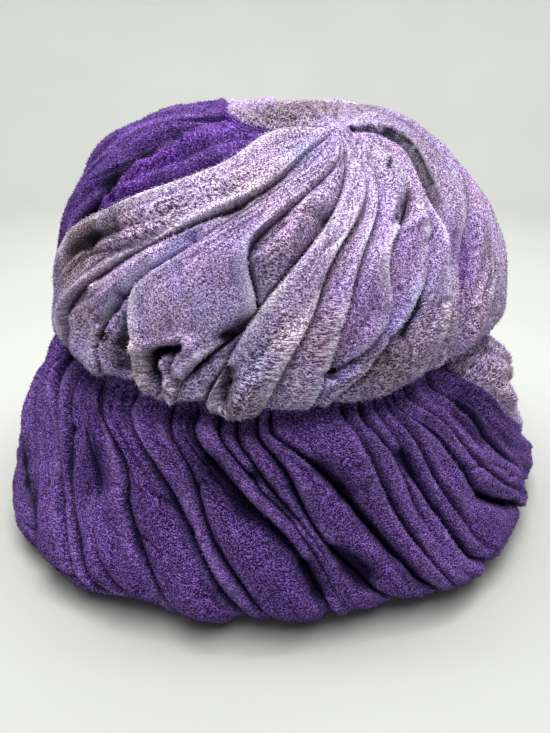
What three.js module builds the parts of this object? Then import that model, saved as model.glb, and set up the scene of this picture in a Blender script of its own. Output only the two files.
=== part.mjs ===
import * as THREE from 'three';

// Draped velvet cloche hat, millimetres, +Z up, front towards -Y.
// The hat stands on its turned-under brim: the resting ring is at z = 0, the hat axis is the Z axis.
// Angles are in degrees round the axis: 0 = +X (right), -90 = front, 90 = back.

// ---- driving sizes -------------------------------------------------------
const WALL = 2.2;             // thickness of the velvet wall
const SEAM_GAP = 0.55;        // clearance between neighbouring drapes
const CROWN_SLOPE = 162;      // length of cloth from the top of the dome down to the lower edge of the crown
const CROWN_END = 1.02;       // end of the crown wall, as a share of the slope
const GATHER = { x: 0.128, y: -0.31 };   // gather point of the crown folds, as shares of the slope
const BRIM_DROP = 88.3;       // length of cloth from under the crown to the bottom roll of the brim
const CROWN_LEAN = { x: 2.5, from: 60, to: 110 };  // the crown sits slightly to the right of the brim
const FOLD_FADE_TOP = [0.03, 0.2];       // the crown folds rise out of the gather between these shares
const FOLD_FADE_LIP = [0.98, 1.02];      // and calm down at the turned-in lip
const BRIM_FADE_TOP = [-0.04, 0.12];     // the pleats start under the crown's edge
const BRIM_FADE_REST = [0.93, 1.07];     // and are pressed flat on the resting ring
const CROWN_ROWS = [0.03, 0.09, 0.15, 0.23, 0.32, 0.42, 0.53, 0.64, 0.75, 0.85, 0.93, 0.985, 1.02];
const PURPLE_ROWS = [0.1, 0.16, 0.23, 0.32, 0.42, 0.53, 0.64, 0.75, 0.85, 0.93, 0.985, 1.02];
const BRIM_ROWS = [-0.14, -0.04, 0.06, 0.18, 0.34, 0.52, 0.7, 0.84, 0.94, 1.02, 1.095, 1.19, 1.27, 1.35];
const COLUMN_PITCH = 8;       // one column of facets for about this width of fold
const BACK_FOLDS = 8;         // plain folds round the back of the crown
const BACK_PLEATS = 11;       // plain pleats round the back of the brim
const BACK_DEPTH = { crown: 3.2, brim: 4.2 };

const COLOURS = { lilac: 0xa893b8, purple: 0x4b2a86 };

// ---- sections of the smooth base form ------------------------------------
// radius, height
const CROWN_SECTION = [
  [0, 172.5], [25, 172], [48, 168], [66, 160], [80, 148], [91, 134], [96.5, 120],
  [101, 105], [103.5, 92], [103.8, 86], [102.6, 81.2], [100.5, 79], [97.6, 78.4],
];
const BRIM_SECTION = [
  [93.6, 96], [93.6, 88], [94.2, 81], [97.4, 74.6], [103, 71.4], [108.5, 67.2], [113.5, 59], [120.5, 40],
  [127, 22], [129, 13], [126, 6], [119, 1.6], [111, 0], [101, 0], [95, 2.5], [92.5, 9],
];
const BRIM_START = 3;         // the section row under the crown's edge, from which the pleats are measured

// ---- slow swells of the whole form ---------------------------------------
// at: angle, z: height, wide: spread in degrees, tall: spread in mm, out: radial move, up: move along Z
const SWELLS = [
  { at: -127, z: 12, wide: 15, tall: 26, out: 6.0, up: 0 },
  { at: -51, z: 12, wide: 15, tall: 26, out: 4.0, up: 0 },
  { at: -42, z: 86, wide: 26, tall: 24, out: 0, up: 10 },
  { at: -20, z: 100, wide: 26, tall: 30, out: 2.0, up: 0 },
  { at: 150, z: 150, wide: 40, tall: 20, out: 2.0, up: 2 },
];

// ---- folds of the crown --------------------------------------------------
// b..: angle of the crease at that share (percent) of the way from the gather point to the lower edge
// d..: depth of the crease there, left/right: reach of the crease to each side
// puff: how far the fold on the crease's right swells, hang: how much lower that fold's end hangs
const CROWN_KNOTS = [0.05, 0.15, 0.3, 0.5, 0.7, 0.85, 1.0];
const CROWN_DEPTH_KNOTS = [0.15, 0.4, 0.7, 1.0];
const CROWN_COLUMNS = ['b05', 'b15', 'b30', 'b50', 'b70', 'b85', 'b100', 'd15', 'd40', 'd70', 'd100', 'left', 'right', 'puff', 'hang'];
const CROWN_FOLDS = [
  [-144.6, -140, -133, -141, -157, -159, -159, 1.0, 1.0, 1.5, 1.5, 3, 3, 3.0, 0],
  [-110, -106, -112.5, -123, -138, -147.5, -153, 1.5, 3.5, 3.5, 3.0, 4, 3, 1.5, 1],
  [-96, -98, -107.5, -117.5, -128, -134, -131, 1.5, 4.5, 5.0, 4.0, 3, 4, 1.0, -1],
  [-88, -92, -104, -114, -126, -122.5, -117, 0, 0, 3.5, 5.0, 5, 4, 2.0, -1],
  [-80, -82, -95, -104, -101, -107.5, -110.5, 2.0, 4.5, 4.5, 6.0, 6, 4, 1.0, 1],
  [-74, -76, -80, -89.5, -98.4, -103, -104, 1.0, 4.0, 5.0, 4.5, 3, 4, 1.5, 2],
  [-66, -66, -70.5, -83.5, -88.3, -92, -93.5, 1.5, 4.5, 4.5, 4.0, 4, 4, 1.5, -2],
  [-55, -57, -63, -75, -80.2, -83.2, -85.5, 1.5, 4.5, 4.5, 4.0, 4, 4, 1.5, -3],
  [-40, -42, -47, -66, -69.5, -78, -82, 2.0, 5.5, 1.5, 0, 3, 6, 1.5, -1],
  [-30, -34, -41.5, -53, -63, -73, -78.5, 2.0, 4.5, 4.5, 4.5, 4, 4, 1.5, -1],
  [15, -8.5, -33, -44.5, -51.7, -58, -63, 6.0, 6.0, 4.0, 3.0, 3, 5, 2.5, 0],
  [50, 35, 5, -31, -43.5, -50, -53, 2.0, 3.5, 3.5, 2.0, 4, 4, 2.0, 0],
  [80, 75, 40, -8, -34, -44, -45, 2.0, 3.0, 3.5, 3.0, 4, 4, 2.0, 0],
];
// rear edge of the lilac drape, against the purple one
const REAR_EDGE = [214.6, 206, 148, 138, 134, 132, 130, 1.0, 1.0, 1.0, 1.0, 3, 3, 0, 0];
// creases of the purple drape, between that edge (minus a full turn) and the first lilac crease
const PURPLE_FOLDS = [
  [-145.4, -154, -212, -222, -226, -228, -230, 1.0, 1.5, 1.5, 1.5, 3, 3, 2.0, 0],
  [-145, -152, -198, -203, -204, -206, -208, 2.0, 3.5, 3.5, 3.0, 4, 4, 2.0, 0],
  [-145, -150, -181, -183, -184, -186, -188, 2.0, 3.5, 3.5, 3.0, 4, 4, 2.0, 0],
  [-144, -147, -161, -160, -168, -172, -174, 2.0, 4.5, 4.5, 3.0, 4, 4, 2.0, 0],
  [-144, -143, -143, -150, -162, -165, -166, 2.0, 3.0, 3.0, 3.0, 4, 4, 1.0, 0],
  [-144.6, -140.6, -133.8, -142.5, -158.5, -160.5, -160.5, 1.0, 2.5, 2.5, 2.0, 3, 3, 0, 0],
];

// ---- pleats of the brim --------------------------------------------------
// a..: angle of the crease at that share (percent) of the drop, d..: its depth there
const BRIM_KNOTS = [0, 0.25, 0.5, 0.75, 1.0];
const BRIM_DEPTH_KNOTS = [0, 0.3, 0.6, 0.9];
const BRIM_COLUMNS = ['a00', 'a25', 'a50', 'a75', 'a100', 'd00', 'd30', 'd60', 'd90', 'left', 'right', 'puff'];
const BRIM_PLEATS = [
  [-178, -169, -159, -160, -160, 1.0, 1.0, 1.0, 1.0, 3, 3, 2.0],
  [-167, -160, -147, -138.5, -132, 2.0, 4.0, 7.5, 5.0, 4, 4, 2.0],
  [-158, -142.5, -134, -126, -119, 3.5, 4.0, 2.5, 0, 3, 3, 1.0],
  [-146, -137, -131, -123.5, -116.5, 3.5, 4.0, 5.0, 5.0, 3, 4, 1.0],
  [-140, -130, -123.5, -117.5, -111, 1.0, 4.0, 0.5, 3.0, 6, 6, 1.0],
  [-135, -121.3, -115.5, -109.3, -105.5, 3.0, 4.5, 5.0, 3.0, 4, 4, 2.0],
  [-123, -111.8, -104, -97.3, -93, 3.5, 6.0, 6.0, 4.5, 5, 4, 0.5],
  [-113, -105.8, -101, -93.7, -89, 3.5, 5.5, 5.5, 4.0, 4, 4, 1.5],
  [-107, -99, -87.7, -82, -78, 3.0, 7.5, 7.0, 6.5, 7, 3, 1.0],
  [-102, -94.5, -84.9, -79.8, -76, 3.5, 6.0, 1.5, 0, 3, 3, 0.5],
  [-98, -92.3, -83.6, -78.4, -74.6, 3.5, 4.0, 0.5, 0, 3, 3, 0.5],
  [-93.5, -87.3, -82.1, -73.7, -67, 4.0, 6.0, 6.0, 6.5, 4, 4, 1.0],
  [-91, -80.7, -72.8, -65.5, -58.5, 4.0, 7.0, 7.5, 6.5, 3, 5, 2.0],
  [-75.5, -72, -67.3, -61.5, -55.5, 3.0, 6.5, 4.0, 0.5, 4, 3, 1.0],
  [-71, -66.6, -63.2, -58, -52, 3.0, 3.5, 0.5, 0, 4, 4, 0.5],
  [-68, -64.2, -59.8, -54.4, -46.5, 3.0, 6.5, 6.5, 5.0, 4, 3, 1.0],
  [-65, -60.7, -56, -50, -41, 3.0, 4.5, 1.5, 0, 4, 3, 1.0],
  [-63, -55.3, -49.2, -35, -28, 3.5, 5.5, 6.5, 3.5, 4, 4, 1.0],
  [-59.5, -52.2, -44, -31, -23, 3.0, 4.5, 1.0, 0, 3, 4, 1.0],
  [-53, -44.4, -35.5, -26, -17, 3.0, 5.0, 5.0, 3.0, 4, 4, 2.0],
  [-46, -35.5, -21, -9, 0, 1.0, 1.5, 1.5, 1.5, 3, 3, 2.0],
];

// ---- small helpers ---------------------------------------------------------
const rad = THREE.MathUtils.degToRad;
const step = (from, to, x) => THREE.MathUtils.smoothstep(x, from, to);

// smooth curve through equally numbered rows of a table
function hermite(rows, k) {
  const last = rows.length - 1;
  const i = Math.min(Math.floor(Math.min(Math.max(k, 0), last)), last - 1);
  const u = Math.min(Math.max(k, 0), last) - i;
  const slope = (j, c) => (j === 0 ? rows[1][c] - rows[0][c] : j === last ? rows[last][c] - rows[last - 1][c] : (rows[j + 1][c] - rows[j - 1][c]) / 2);
  return rows[i].map((_, c) => rows[i][c] * (2 * u ** 3 - 3 * u ** 2 + 1) + slope(i, c) * (u ** 3 - 2 * u ** 2 + u)
    + rows[i + 1][c] * (3 * u ** 2 - 2 * u ** 3) + slope(i + 1, c) * (u ** 3 - u ** 2));
}

// a section walked by length of cloth, measured from one of its rows
function walk(rows, fromRow = 0, steps = 480) {
  const pts = [];
  let length = 0;
  let start = 0;
  for (let i = 0; i <= steps; i++) {
    const k = (i / steps) * (rows.length - 1);
    const p = hermite(rows, k);
    if (i > 0) length += Math.hypot(p[0] - pts[i - 1].r, p[1] - pts[i - 1].z);
    if (k <= fromRow) start = length;
    pts.push({ s: length, r: p[0], z: Math.max(0, p[1]) });
  }
  return (s) => {
    const want = Math.min(Math.max(s + start, 0), length);
    let lo = 0;
    let hi = steps;
    while (hi - lo > 1) { const mid = (lo + hi) >> 1; if (pts[mid].s <= want) lo = mid; else hi = mid; }
    const f = (want - pts[lo].s) / Math.max(pts[hi].s - pts[lo].s, 1e-9);
    return { r: pts[lo].r + f * (pts[hi].r - pts[lo].r), z: pts[lo].z + f * (pts[hi].z - pts[lo].z) };
  };
}
const crownSection = walk(CROWN_SECTION);
const brimSection = walk(BRIM_SECTION, BRIM_START);

// value of a table row between its knots
function along(knots, values, x) {
  const last = knots.length - 1;
  if (x <= knots[0]) return values[0];
  if (x >= knots[last]) return values[last];
  let i = 0;
  while (x > knots[i + 1]) i++;
  const f = (x - knots[i]) / (knots[i + 1] - knots[i]);
  const m = (j) => (j === 0 || j === last ? 0 : (values[j + 1] - values[j - 1]) / (knots[j + 1] - knots[j - 1]));
  const h = knots[i + 1] - knots[i];
  return values[i] * (2 * f ** 3 - 3 * f ** 2 + 1) + m(i) * h * (f ** 3 - 2 * f ** 2 + f)
    + values[i + 1] * (3 * f ** 2 - 2 * f ** 3) + m(i + 1) * h * (f ** 3 - f ** 2);
}

const named = (columns, row) => Object.fromEntries(columns.map((name, i) => [name, row[i]]));
const pick = (row, letter, knots) => knots.map((k) => row[letter + String(Math.round(k * 100)).padStart(2, '0')]);

function creases(columns, rows, letter, knots, depthKnots) {
  return rows.map((cells) => {
    const row = named(columns, cells);
    return { ...row, angles: pick(row, letter, knots), depths: pick(row, 'd', depthKnots) };
  });
}

// plain creases shared out evenly between two given ones
function between(first, last, count, depth, depthCount) {
  return Array.from({ length: count }, (_, i) => {
    const f = (i + 1) / (count + 1);
    return {
      angles: first.angles.map((a, j) => a + f * (last.angles[j] - a)),
      depths: Array.from({ length: depthCount }, () => depth * (i % 2 ? 0.8 : 1)),
      left: 4, right: 4, puff: 1.5, hang: 0,
    };
  });
}

// ---- the base form -----------------------------------------------------------
// the whole hat settles: slow swells and the lean of the crown
function settle(p) {
  const angle = THREE.MathUtils.radToDeg(Math.atan2(p.y, p.x));
  const radius = Math.hypot(p.x, p.y);
  let out = 0;
  let up = 0;
  for (const w of SWELLS) {
    const turn = ((angle - w.at + 540) % 360) - 180;
    const g = Math.exp(-((turn / w.wide) ** 2) - ((p.z - w.z) / w.tall) ** 2) * step(0, 40, radius);
    out += w.out * g;
    up += w.up * g;
  }
  const grow = radius > 1e-6 ? (radius + out * step(0, 6, p.z + 1)) / radius : 1;
  return new THREE.Vector3(p.x * grow + CROWN_LEAN.x * step(CROWN_LEAN.from, CROWN_LEAN.to, p.z), p.y * grow, p.z + up);
}

// crown: the fold runs from the gather point (share 0) to the lower edge (share 1)
function crownBase(angle, share) {
  const a = rad(angle);
  const e = { x: Math.cos(a), y: Math.sin(a) };
  const s = Math.min(share, 1);
  const x = share > 1 ? e.x * share : GATHER.x + s * (e.x - GATHER.x);
  const y = share > 1 ? e.y * share : GATHER.y + s * (e.y - GATHER.y);
  const rho = Math.hypot(x, y);
  const q = crownSection(rho * CROWN_SLOPE);
  const k = rho > 1e-9 ? q.r / rho : 0;
  return new THREE.Vector3(x * k, y * k, q.z);
}

function crownNormal(p) {
  // the section's own normal at this radius and height, from the two neighbouring points of the section
  const radius = Math.hypot(p.x, p.y);
  let best = 0;
  let miss = Infinity;
  for (let s = 0; s <= CROWN_SLOPE * CROWN_END; s += 1) {
    const q = crownSection(s);
    const d = Math.hypot(q.r - radius, q.z - p.z);
    if (d < miss) { miss = d; best = s; }
  }
  const a = crownSection(best - 1);
  const b = crownSection(best + 1);
  const n = new THREE.Vector2(-(b.z - a.z), b.r - a.r).normalize();
  const c = radius > 1e-6 ? { x: p.x / radius, y: p.y / radius } : { x: 0, y: 0 };
  return new THREE.Vector3(c.x * n.x, c.y * n.x, n.y);
}

function brimBase(angle, share) {
  const q = brimSection(share * BRIM_DROP);
  const a = rad(angle);
  return new THREE.Vector3(q.r * Math.cos(a), q.r * Math.sin(a), q.z);
}

function brimNormal(angle, share) {
  const a = brimSection(share * BRIM_DROP - 0.6);
  const b = brimSection(share * BRIM_DROP + 0.6);
  const n = new THREE.Vector2(-(b.z - a.z), b.r - a.r).normalize();
  return new THREE.Vector3(n.x * Math.cos(rad(angle)), n.x * Math.sin(rad(angle)), n.y);
}

// ---- folds ---------------------------------------------------------------------
// height of the cloth over the base form at a place between two creases
function foldHeight(first, second, u, width, depthAt) {
  const fromLeft = u * width;
  const fromRight = (1 - u) * width;
  const dip = depthAt(first) * Math.exp(-fromLeft / first.right) + depthAt(second) * Math.exp(-fromRight / second.left);
  const puff = first.puff * Math.min(1, width / 14) * Math.sqrt(Math.max(0, 1 - (2 * u - 1) ** 2));
  return puff - dip;
}

// columns of facets across the folds: which crease pair, and how far between them
function columnsAcross(list, widthAt) {
  const cols = [];
  for (let i = 0; i + 1 < list.length; i++) {
    const n = Math.min(4, Math.max(2, Math.round(widthAt(list[i], list[i + 1]) / COLUMN_PITCH)));
    for (let j = 0; j < n; j++) cols.push({ i, u: j / n });
  }
  cols.push({ i: list.length - 2, u: 1 });
  return cols;
}

// a closed wall from an outer and an inner skin on the same rows and columns;
// with an apex, the first row also closes to a point
function wall(rows, cols, skin, apex) {
  const points = [];
  const index = (layer, r, c) => layer * rows * cols + r * cols + c;
  for (let layer = 0; layer < 2; layer++) for (let r = 0; r < rows; r++) for (let c = 0; c < cols; c++) points.push(skin(layer, r, c));
  const faces = [];
  const quad = (a, b, c, d) => faces.push(a, b, c, a, c, d);
  for (let r = 0; r + 1 < rows; r++) {
    for (let c = 0; c + 1 < cols; c++) {
      quad(index(0, r, c), index(0, r + 1, c), index(0, r + 1, c + 1), index(0, r, c + 1));
      quad(index(1, r, c), index(1, r, c + 1), index(1, r + 1, c + 1), index(1, r + 1, c));
    }
    quad(index(0, r, 0), index(1, r, 0), index(1, r + 1, 0), index(0, r + 1, 0));
    quad(index(0, r, cols - 1), index(0, r + 1, cols - 1), index(1, r + 1, cols - 1), index(1, r, cols - 1));
  }
  for (let c = 0; c + 1 < cols; c++) {
    quad(index(0, rows - 1, c), index(1, rows - 1, c), index(1, rows - 1, c + 1), index(0, rows - 1, c + 1));
    if (!apex) quad(index(0, 0, c), index(0, 0, c + 1), index(1, 0, c + 1), index(1, 0, c));
  }
  if (apex) {
    const top = points.push(apex[0]) - 1;
    const under = points.push(apex[1]) - 1;
    for (let c = 0; c + 1 < cols; c++) {
      faces.push(top, index(0, 0, c), index(0, 0, c + 1));
      faces.push(under, index(1, 0, c + 1), index(1, 0, c));
    }
    quad(top, under, index(1, 0, 0), index(0, 0, 0));
    quad(top, index(0, 0, cols - 1), index(1, 0, cols - 1), under);
  }
  const geometry = new THREE.BufferGeometry();
  geometry.setAttribute('position', new THREE.Float32BufferAttribute(points.flatMap((p) => [p.x, p.y, p.z]), 3));
  geometry.setIndex(faces);
  geometry.computeVertexNormals();
  return geometry;
}

function crownDrape(list, shares, closed, trimLeft, trimRight) {
  const cols = columnsAcross(list, (a, b) => rad(along(CROWN_KNOTS, b.angles, 0.75) - along(CROWN_KNOTS, a.angles, 0.75)) * 85);
  const place = (share, col) => {
    const first = list[col.i];
    const second = list[col.i + 1];
    let a = along(CROWN_KNOTS, first.angles, share);
    let b = along(CROWN_KNOTS, second.angles, share);
    const reach = crownBase((a + b) / 2, share).distanceTo(crownBase((a + b) / 2, 0));
    const trim = THREE.MathUtils.radToDeg(SEAM_GAP / Math.max(reach, 4));
    if (col.i === 0 && trimLeft) a += trim;
    if (col.i === list.length - 2 && trimRight) b -= trim;
    const width = crownBase(a, share).distanceTo(crownBase(b, share));
    const fade = step(FOLD_FADE_TOP[0], FOLD_FADE_TOP[1], share) * (1 - 0.6 * step(FOLD_FADE_LIP[0], FOLD_FADE_LIP[1], share));
    const depthAt = (c) => along(CROWN_DEPTH_KNOTS, c.depths, share);
    const height = fade * foldHeight(first, second, col.u, width, depthAt);
    const hang = first.hang * Math.sin(Math.PI * col.u) * step(0.8, 1, share);
    return { angle: a + col.u * (b - a), height, hang };
  };
  const skin = (layer, r, c) => {
    const share = shares[r];
    const at = place(share, cols[c]);
    const p = crownBase(at.angle, share);
    const q = p.clone().addScaledVector(crownNormal(p), at.height - layer * WALL);
    q.z -= at.hang;
    return settle(q);
  };
  const pole = crownBase(0, 0);
  const up = crownNormal(pole);
  const apex = closed ? [settle(pole), settle(pole.clone().addScaledVector(up, -WALL))] : null;
  return wall(shares.length, cols.length, skin, apex);
}

function brimDrape(list, trimLeft, trimRight) {
  const cols = columnsAcross(list, (a, b) => rad(along(BRIM_KNOTS, b.angles, 0.5) - along(BRIM_KNOTS, a.angles, 0.5)) * 120);
  const skin = (layer, r, c) => {
    const share = BRIM_ROWS[r];
    const col = cols[c];
    const first = list[col.i];
    const second = list[col.i + 1];
    let a = along(BRIM_KNOTS, first.angles, share);
    let b = along(BRIM_KNOTS, second.angles, share);
    const trim = THREE.MathUtils.radToDeg(SEAM_GAP / 100);
    if (col.i === 0 && trimLeft) a += trim;
    if (col.i === list.length - 2 && trimRight) b -= trim;
    const width = brimBase(a, share).distanceTo(brimBase(b, share));
    const fade = step(BRIM_FADE_TOP[0], BRIM_FADE_TOP[1], share) * (1 - step(BRIM_FADE_REST[0], BRIM_FADE_REST[1], share));
    const height = fade * foldHeight(first, second, col.u, width, (k) => along(BRIM_DEPTH_KNOTS, k.depths, share));
    const angle = a + col.u * (b - a);
    return settle(brimBase(angle, share).addScaledVector(brimNormal(angle, share), height - layer * WALL));
  };
  return wall(BRIM_ROWS.length, cols.length, skin, null);
}

// ---- the drapes ------------------------------------------------------------------
const lilacFront = creases(CROWN_COLUMNS, CROWN_FOLDS, 'b', CROWN_KNOTS, CROWN_DEPTH_KNOTS);
const rearEdge = creases(CROWN_COLUMNS, [REAR_EDGE], 'b', CROWN_KNOTS, CROWN_DEPTH_KNOTS)[0];
const lilacBack = between(lilacFront.at(-1), rearEdge, BACK_FOLDS, BACK_DEPTH.crown, CROWN_DEPTH_KNOTS.length);
const crownLilac = [...lilacFront, ...lilacBack, rearEdge];
const crownPurple = creases(CROWN_COLUMNS, PURPLE_FOLDS, 'b', CROWN_KNOTS, CROWN_DEPTH_KNOTS);

const brimPurple = creases(BRIM_COLUMNS, BRIM_PLEATS, 'a', BRIM_KNOTS, BRIM_DEPTH_KNOTS);
const leftSeam = { ...brimPurple[0], angles: brimPurple[0].angles.map((a) => a + 360) };
const rightSeam = brimPurple.at(-1);
const brimLilac = [rightSeam, ...between(rightSeam, leftSeam, BACK_PLEATS, BACK_DEPTH.brim, BRIM_DEPTH_KNOTS.length), leftSeam];

const velvet = (colour) => new THREE.MeshStandardMaterial({ color: colour, roughness: 0.9, metalness: 0, side: THREE.FrontSide });

function piece(name, geometry, colour) {
  const mesh = new THREE.Mesh(geometry, velvet(colour));
  mesh.name = name;
  return mesh;
}

const hat = new THREE.Group();
hat.add(
  piece('crown_lilac_drape', crownDrape(crownLilac, CROWN_ROWS, true, true, true), COLOURS.lilac),
  piece('crown_purple_drape', crownDrape(crownPurple, PURPLE_ROWS, false, true, true), COLOURS.purple),
  piece('brim_purple_drape', brimDrape(brimPurple, true, true), COLOURS.purple),
  piece('brim_lilac_drape', brimDrape(brimLilac, true, true), COLOURS.lilac),
);

export default hat;
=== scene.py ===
import math

import bpy
import numpy as np
from mathutils import Matrix, Vector


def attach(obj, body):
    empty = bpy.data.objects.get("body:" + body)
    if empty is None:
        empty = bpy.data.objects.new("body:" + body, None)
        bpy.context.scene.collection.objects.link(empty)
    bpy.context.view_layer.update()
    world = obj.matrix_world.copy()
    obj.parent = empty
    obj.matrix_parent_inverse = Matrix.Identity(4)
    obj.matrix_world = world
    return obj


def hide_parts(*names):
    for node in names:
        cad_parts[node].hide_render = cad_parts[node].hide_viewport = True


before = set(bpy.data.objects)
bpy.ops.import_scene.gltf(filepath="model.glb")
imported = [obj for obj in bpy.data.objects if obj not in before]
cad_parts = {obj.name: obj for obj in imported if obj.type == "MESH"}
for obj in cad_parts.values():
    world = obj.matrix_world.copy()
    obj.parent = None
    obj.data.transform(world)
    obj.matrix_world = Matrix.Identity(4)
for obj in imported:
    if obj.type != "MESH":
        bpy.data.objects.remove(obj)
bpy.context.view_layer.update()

# Draped velvet cloche hat. Tables are in millimetres and degrees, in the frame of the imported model:
# +Z up, front towards -Y, angle 0 = +X, -90 = front. Meshes are made in metres.

MM = 0.001
WALL = 2.2                     # thickness of the velvet
CROWN_SLOPE = 162.0            # cloth from the top of the dome to the lower edge of the crown
GATHER = (0.128, -0.31)        # gather point of the crown folds, as shares of the slope
BRIM_DROP = 88.3               # cloth from under the crown to the bottom roll of the brim
CROWN_LEAN = (2.5, 60.0, 110.0)
CROWN_LIP, BRIM_LIP = 2.2, 3.4 # radius of a rolled fold edge
OVERHANG = 2.3                 # how far a rolled edge stands over its crease
OVERLAP = 2.4                  # how much higher the upper cloth lies than the lower one
GRADE = 0.55                   # how much the columns crowd towards the creases
INNER_ROWS = 22
CROWN_SINK, BRIM_SINK = 1.6, 3.0   # the creased cloth lies this much inside the smooth form between its swells
CROWN_DEPTH, BRIM_DEPTH, STROKE = 1.3, 1.2, 1.5   # scales of the depths and strokes in the tables
SEED = 11

# ---- sections of the smooth base form: radius, height ------------------------
CROWN_SECTION = (
    (0, 172.5), (25, 172), (48, 168), (66, 160), (80, 148), (91, 134), (96.5, 120),
    (101, 105), (103.5, 92), (103.8, 86), (102.6, 81.2), (100.5, 79), (97.6, 78.4),
)
BRIM_SECTION = (
    (93.6, 96), (93.6, 88), (94.2, 81), (97.4, 74.6), (103, 71.4), (108.5, 67.2), (113.5, 59), (120.5, 40),
    (127, 22), (129, 13), (126, 6), (119, 1.6), (111, 0), (101, 0), (95, 2.5), (92.5, 9),
)
BRIM_START = 3

# ---- slow swells: angle, height, spread (degrees), spread (mm), radial move, move along Z
SWELLS = (
    (-127, 12, 15, 26, 6.0, 0.0),
    (-51, 12, 15, 26, 4.0, 0.0),
    (-42, 86, 26, 24, 0.0, 10.0),
    (-20, 100, 26, 30, -1.0, 0.0),
    (150, 150, 40, 20, 1.0, 1.0),
    (8, 152, 22, 16, -7.0, 0.0),
    (-166, 76, 15, 22, -5.0, 0.0),
)

# ---- folds -----------------------------------------------------------------------
# angles: places of the crease at the knots, depths: its depth at the depth knots,
# lean: which side lies on top at the start and the end of the crease (+1 left over right, -1 right over left),
# reach: how far the lower cloth takes to rise again, puff: swelling of the fold on the crease's right,
# hang: how much lower the end of that fold hangs, pitch: column spacing of that fold
CROWN_KNOTS = (0.05, 0.15, 0.3, 0.5, 0.7, 0.85, 1.0)
CROWN_DEPTH_KNOTS = (0.15, 0.4, 0.7, 1.0)
FINE, COARSE = 0.8, 2.4
FOLD = ("angles", "depths", "lean", "reach", "puff", "hang", "pitch")
CROWN_FOLDS = (
    ((-144.6, -140, -133, -142, -160, -163, -164), (2.0, 3.0, 3.0, 2.5), (-1, -1), 3, 1.2, -1.5, FINE),
    ((-108, -107, -110.5, -123.2, -139.5, -148, -149.5), (1.2, 3.6, 5.0, 5.0), (1, 1), 2, 0.8, -2.0, FINE),
    ((-97, -98, -105.5, -116.8, -128.6, -135, -131.5), (2.5, 4.5, 4.6, 8.0), (-0.8, 0.8), 2, 0.8, -3.0, FINE),
    ((-88, -92, -103, -114.5, -126.4, -120.8, -117.8), (0, 0, 3.0, 11.0), (-1, -1), 3, 0.8, 0.0, FINE),
    ((-80, -82, -95, -105.4, -99.3, -107.8, -110), (1.6, 2.8, 4.6, 1.0), (1, 1), 3, 2.0, -1.0, FINE),
    ((-74, -76, -81, -90.5, -98.4, -101.5, -103.6), (2.0, 4.5, 6.0, 6.0), (-1, -0.8), 3, 1.2, 2.5, FINE),
    ((-66, -66, -70.5, -82.6, -87.4, -91, -93.2), (2.4, 5.5, 5.2, 5.0), (1, 1), 2.4, 0.9, 0.5, FINE),
    ((-55, -57, -63.5, -75, -80, -81.8, -83.5), (2.4, 5.5, 5.2, 5.2), (1, 1), 2.4, 0.9, 0.0, FINE),
    ((-40, -42, -47, -67.6, -69.2, -76.5, -81.5), (3.0, 6.5, 3.5, 0), (1, 0.8), 4, 0.9, 1.0, FINE),
    ((-30, -34, -42, -53.3, -62.5, -72, -79.5), (3.0, 4.5, 5.5, 6.0), (1, 1), 2.4, 0.9, 1.5, FINE),
    ((16, -6, -31, -44, -51, -55, -58.5), (2.6, 3.4, 4.2, 4.0), (-1, 0.8), 2.0, 1.4, 0.5, FINE),
    ((50, 36, -1, -35.5, -47.0, -50.5, -53), (2.0, 5.0, 6.0, 5.0), (0.8, 1), 3.0, 1.4, 0.0, FINE),
    ((80, 75, 41, -5, -28, -38.5, -40.5), (2.0, 4.0, 5.5, 5.0), (0.4, 0.8), 3, 1.4, 0.0, 1.2),
)
REAR_EDGE = ((214.6, 207, 134, 131, 130, 130, 130), (1.0, 2.5, 2.5, 2.5), (1, 1), 4, 0.0, 0.0, FINE)
PURPLE_FOLDS = (
    ((-145.4, -153, -226, -229, -230, -230, -230), (1.0, 3.0, 3.0, 3.0), (1, 1), 4, 2.4, 0.0, 1.3),
    ((-145, -152, -198, -203, -204, -206, -208), (2.0, 5.0, 5.0, 4.0), (0.5, 0.5), 4, 3.0, 0.0, 1.0),
    ((-145, -150, -181, -183, -186, -188, -190), (2.0, 6.0, 6.0, 4.0), (0.5, 0.5), 5, 1.8, 0.0, 0.8),
    ((-144, -149, -166, -160.7, -162.8, -167.5, -169), (2.0, 6.0, 7.0, 5.0), (0.4, 0.4), 5, 1.6, 0.0, 0.8),
    ((-144, -144, -147, -151.5, -161.8, -165.6, -166.9), (0.5, 0.5, 0.5, 0.5), (0, 0), 3, 1.0, 0.0, 0.7),
    ((-144.6, -140.6, -133.6, -142.8, -160.8, -163.8, -164.8), (1.5, 2.5, 3.0, 3.0), (-1, -1), 3, 0.0, 0.0, 0.7),
)
BACK_FOLDS = 8
CROWN_ROW_STEP = 1.0
CROWN_TOP, CROWN_END = 0.014, 1.02
PURPLE_TOP = 0.085

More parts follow.
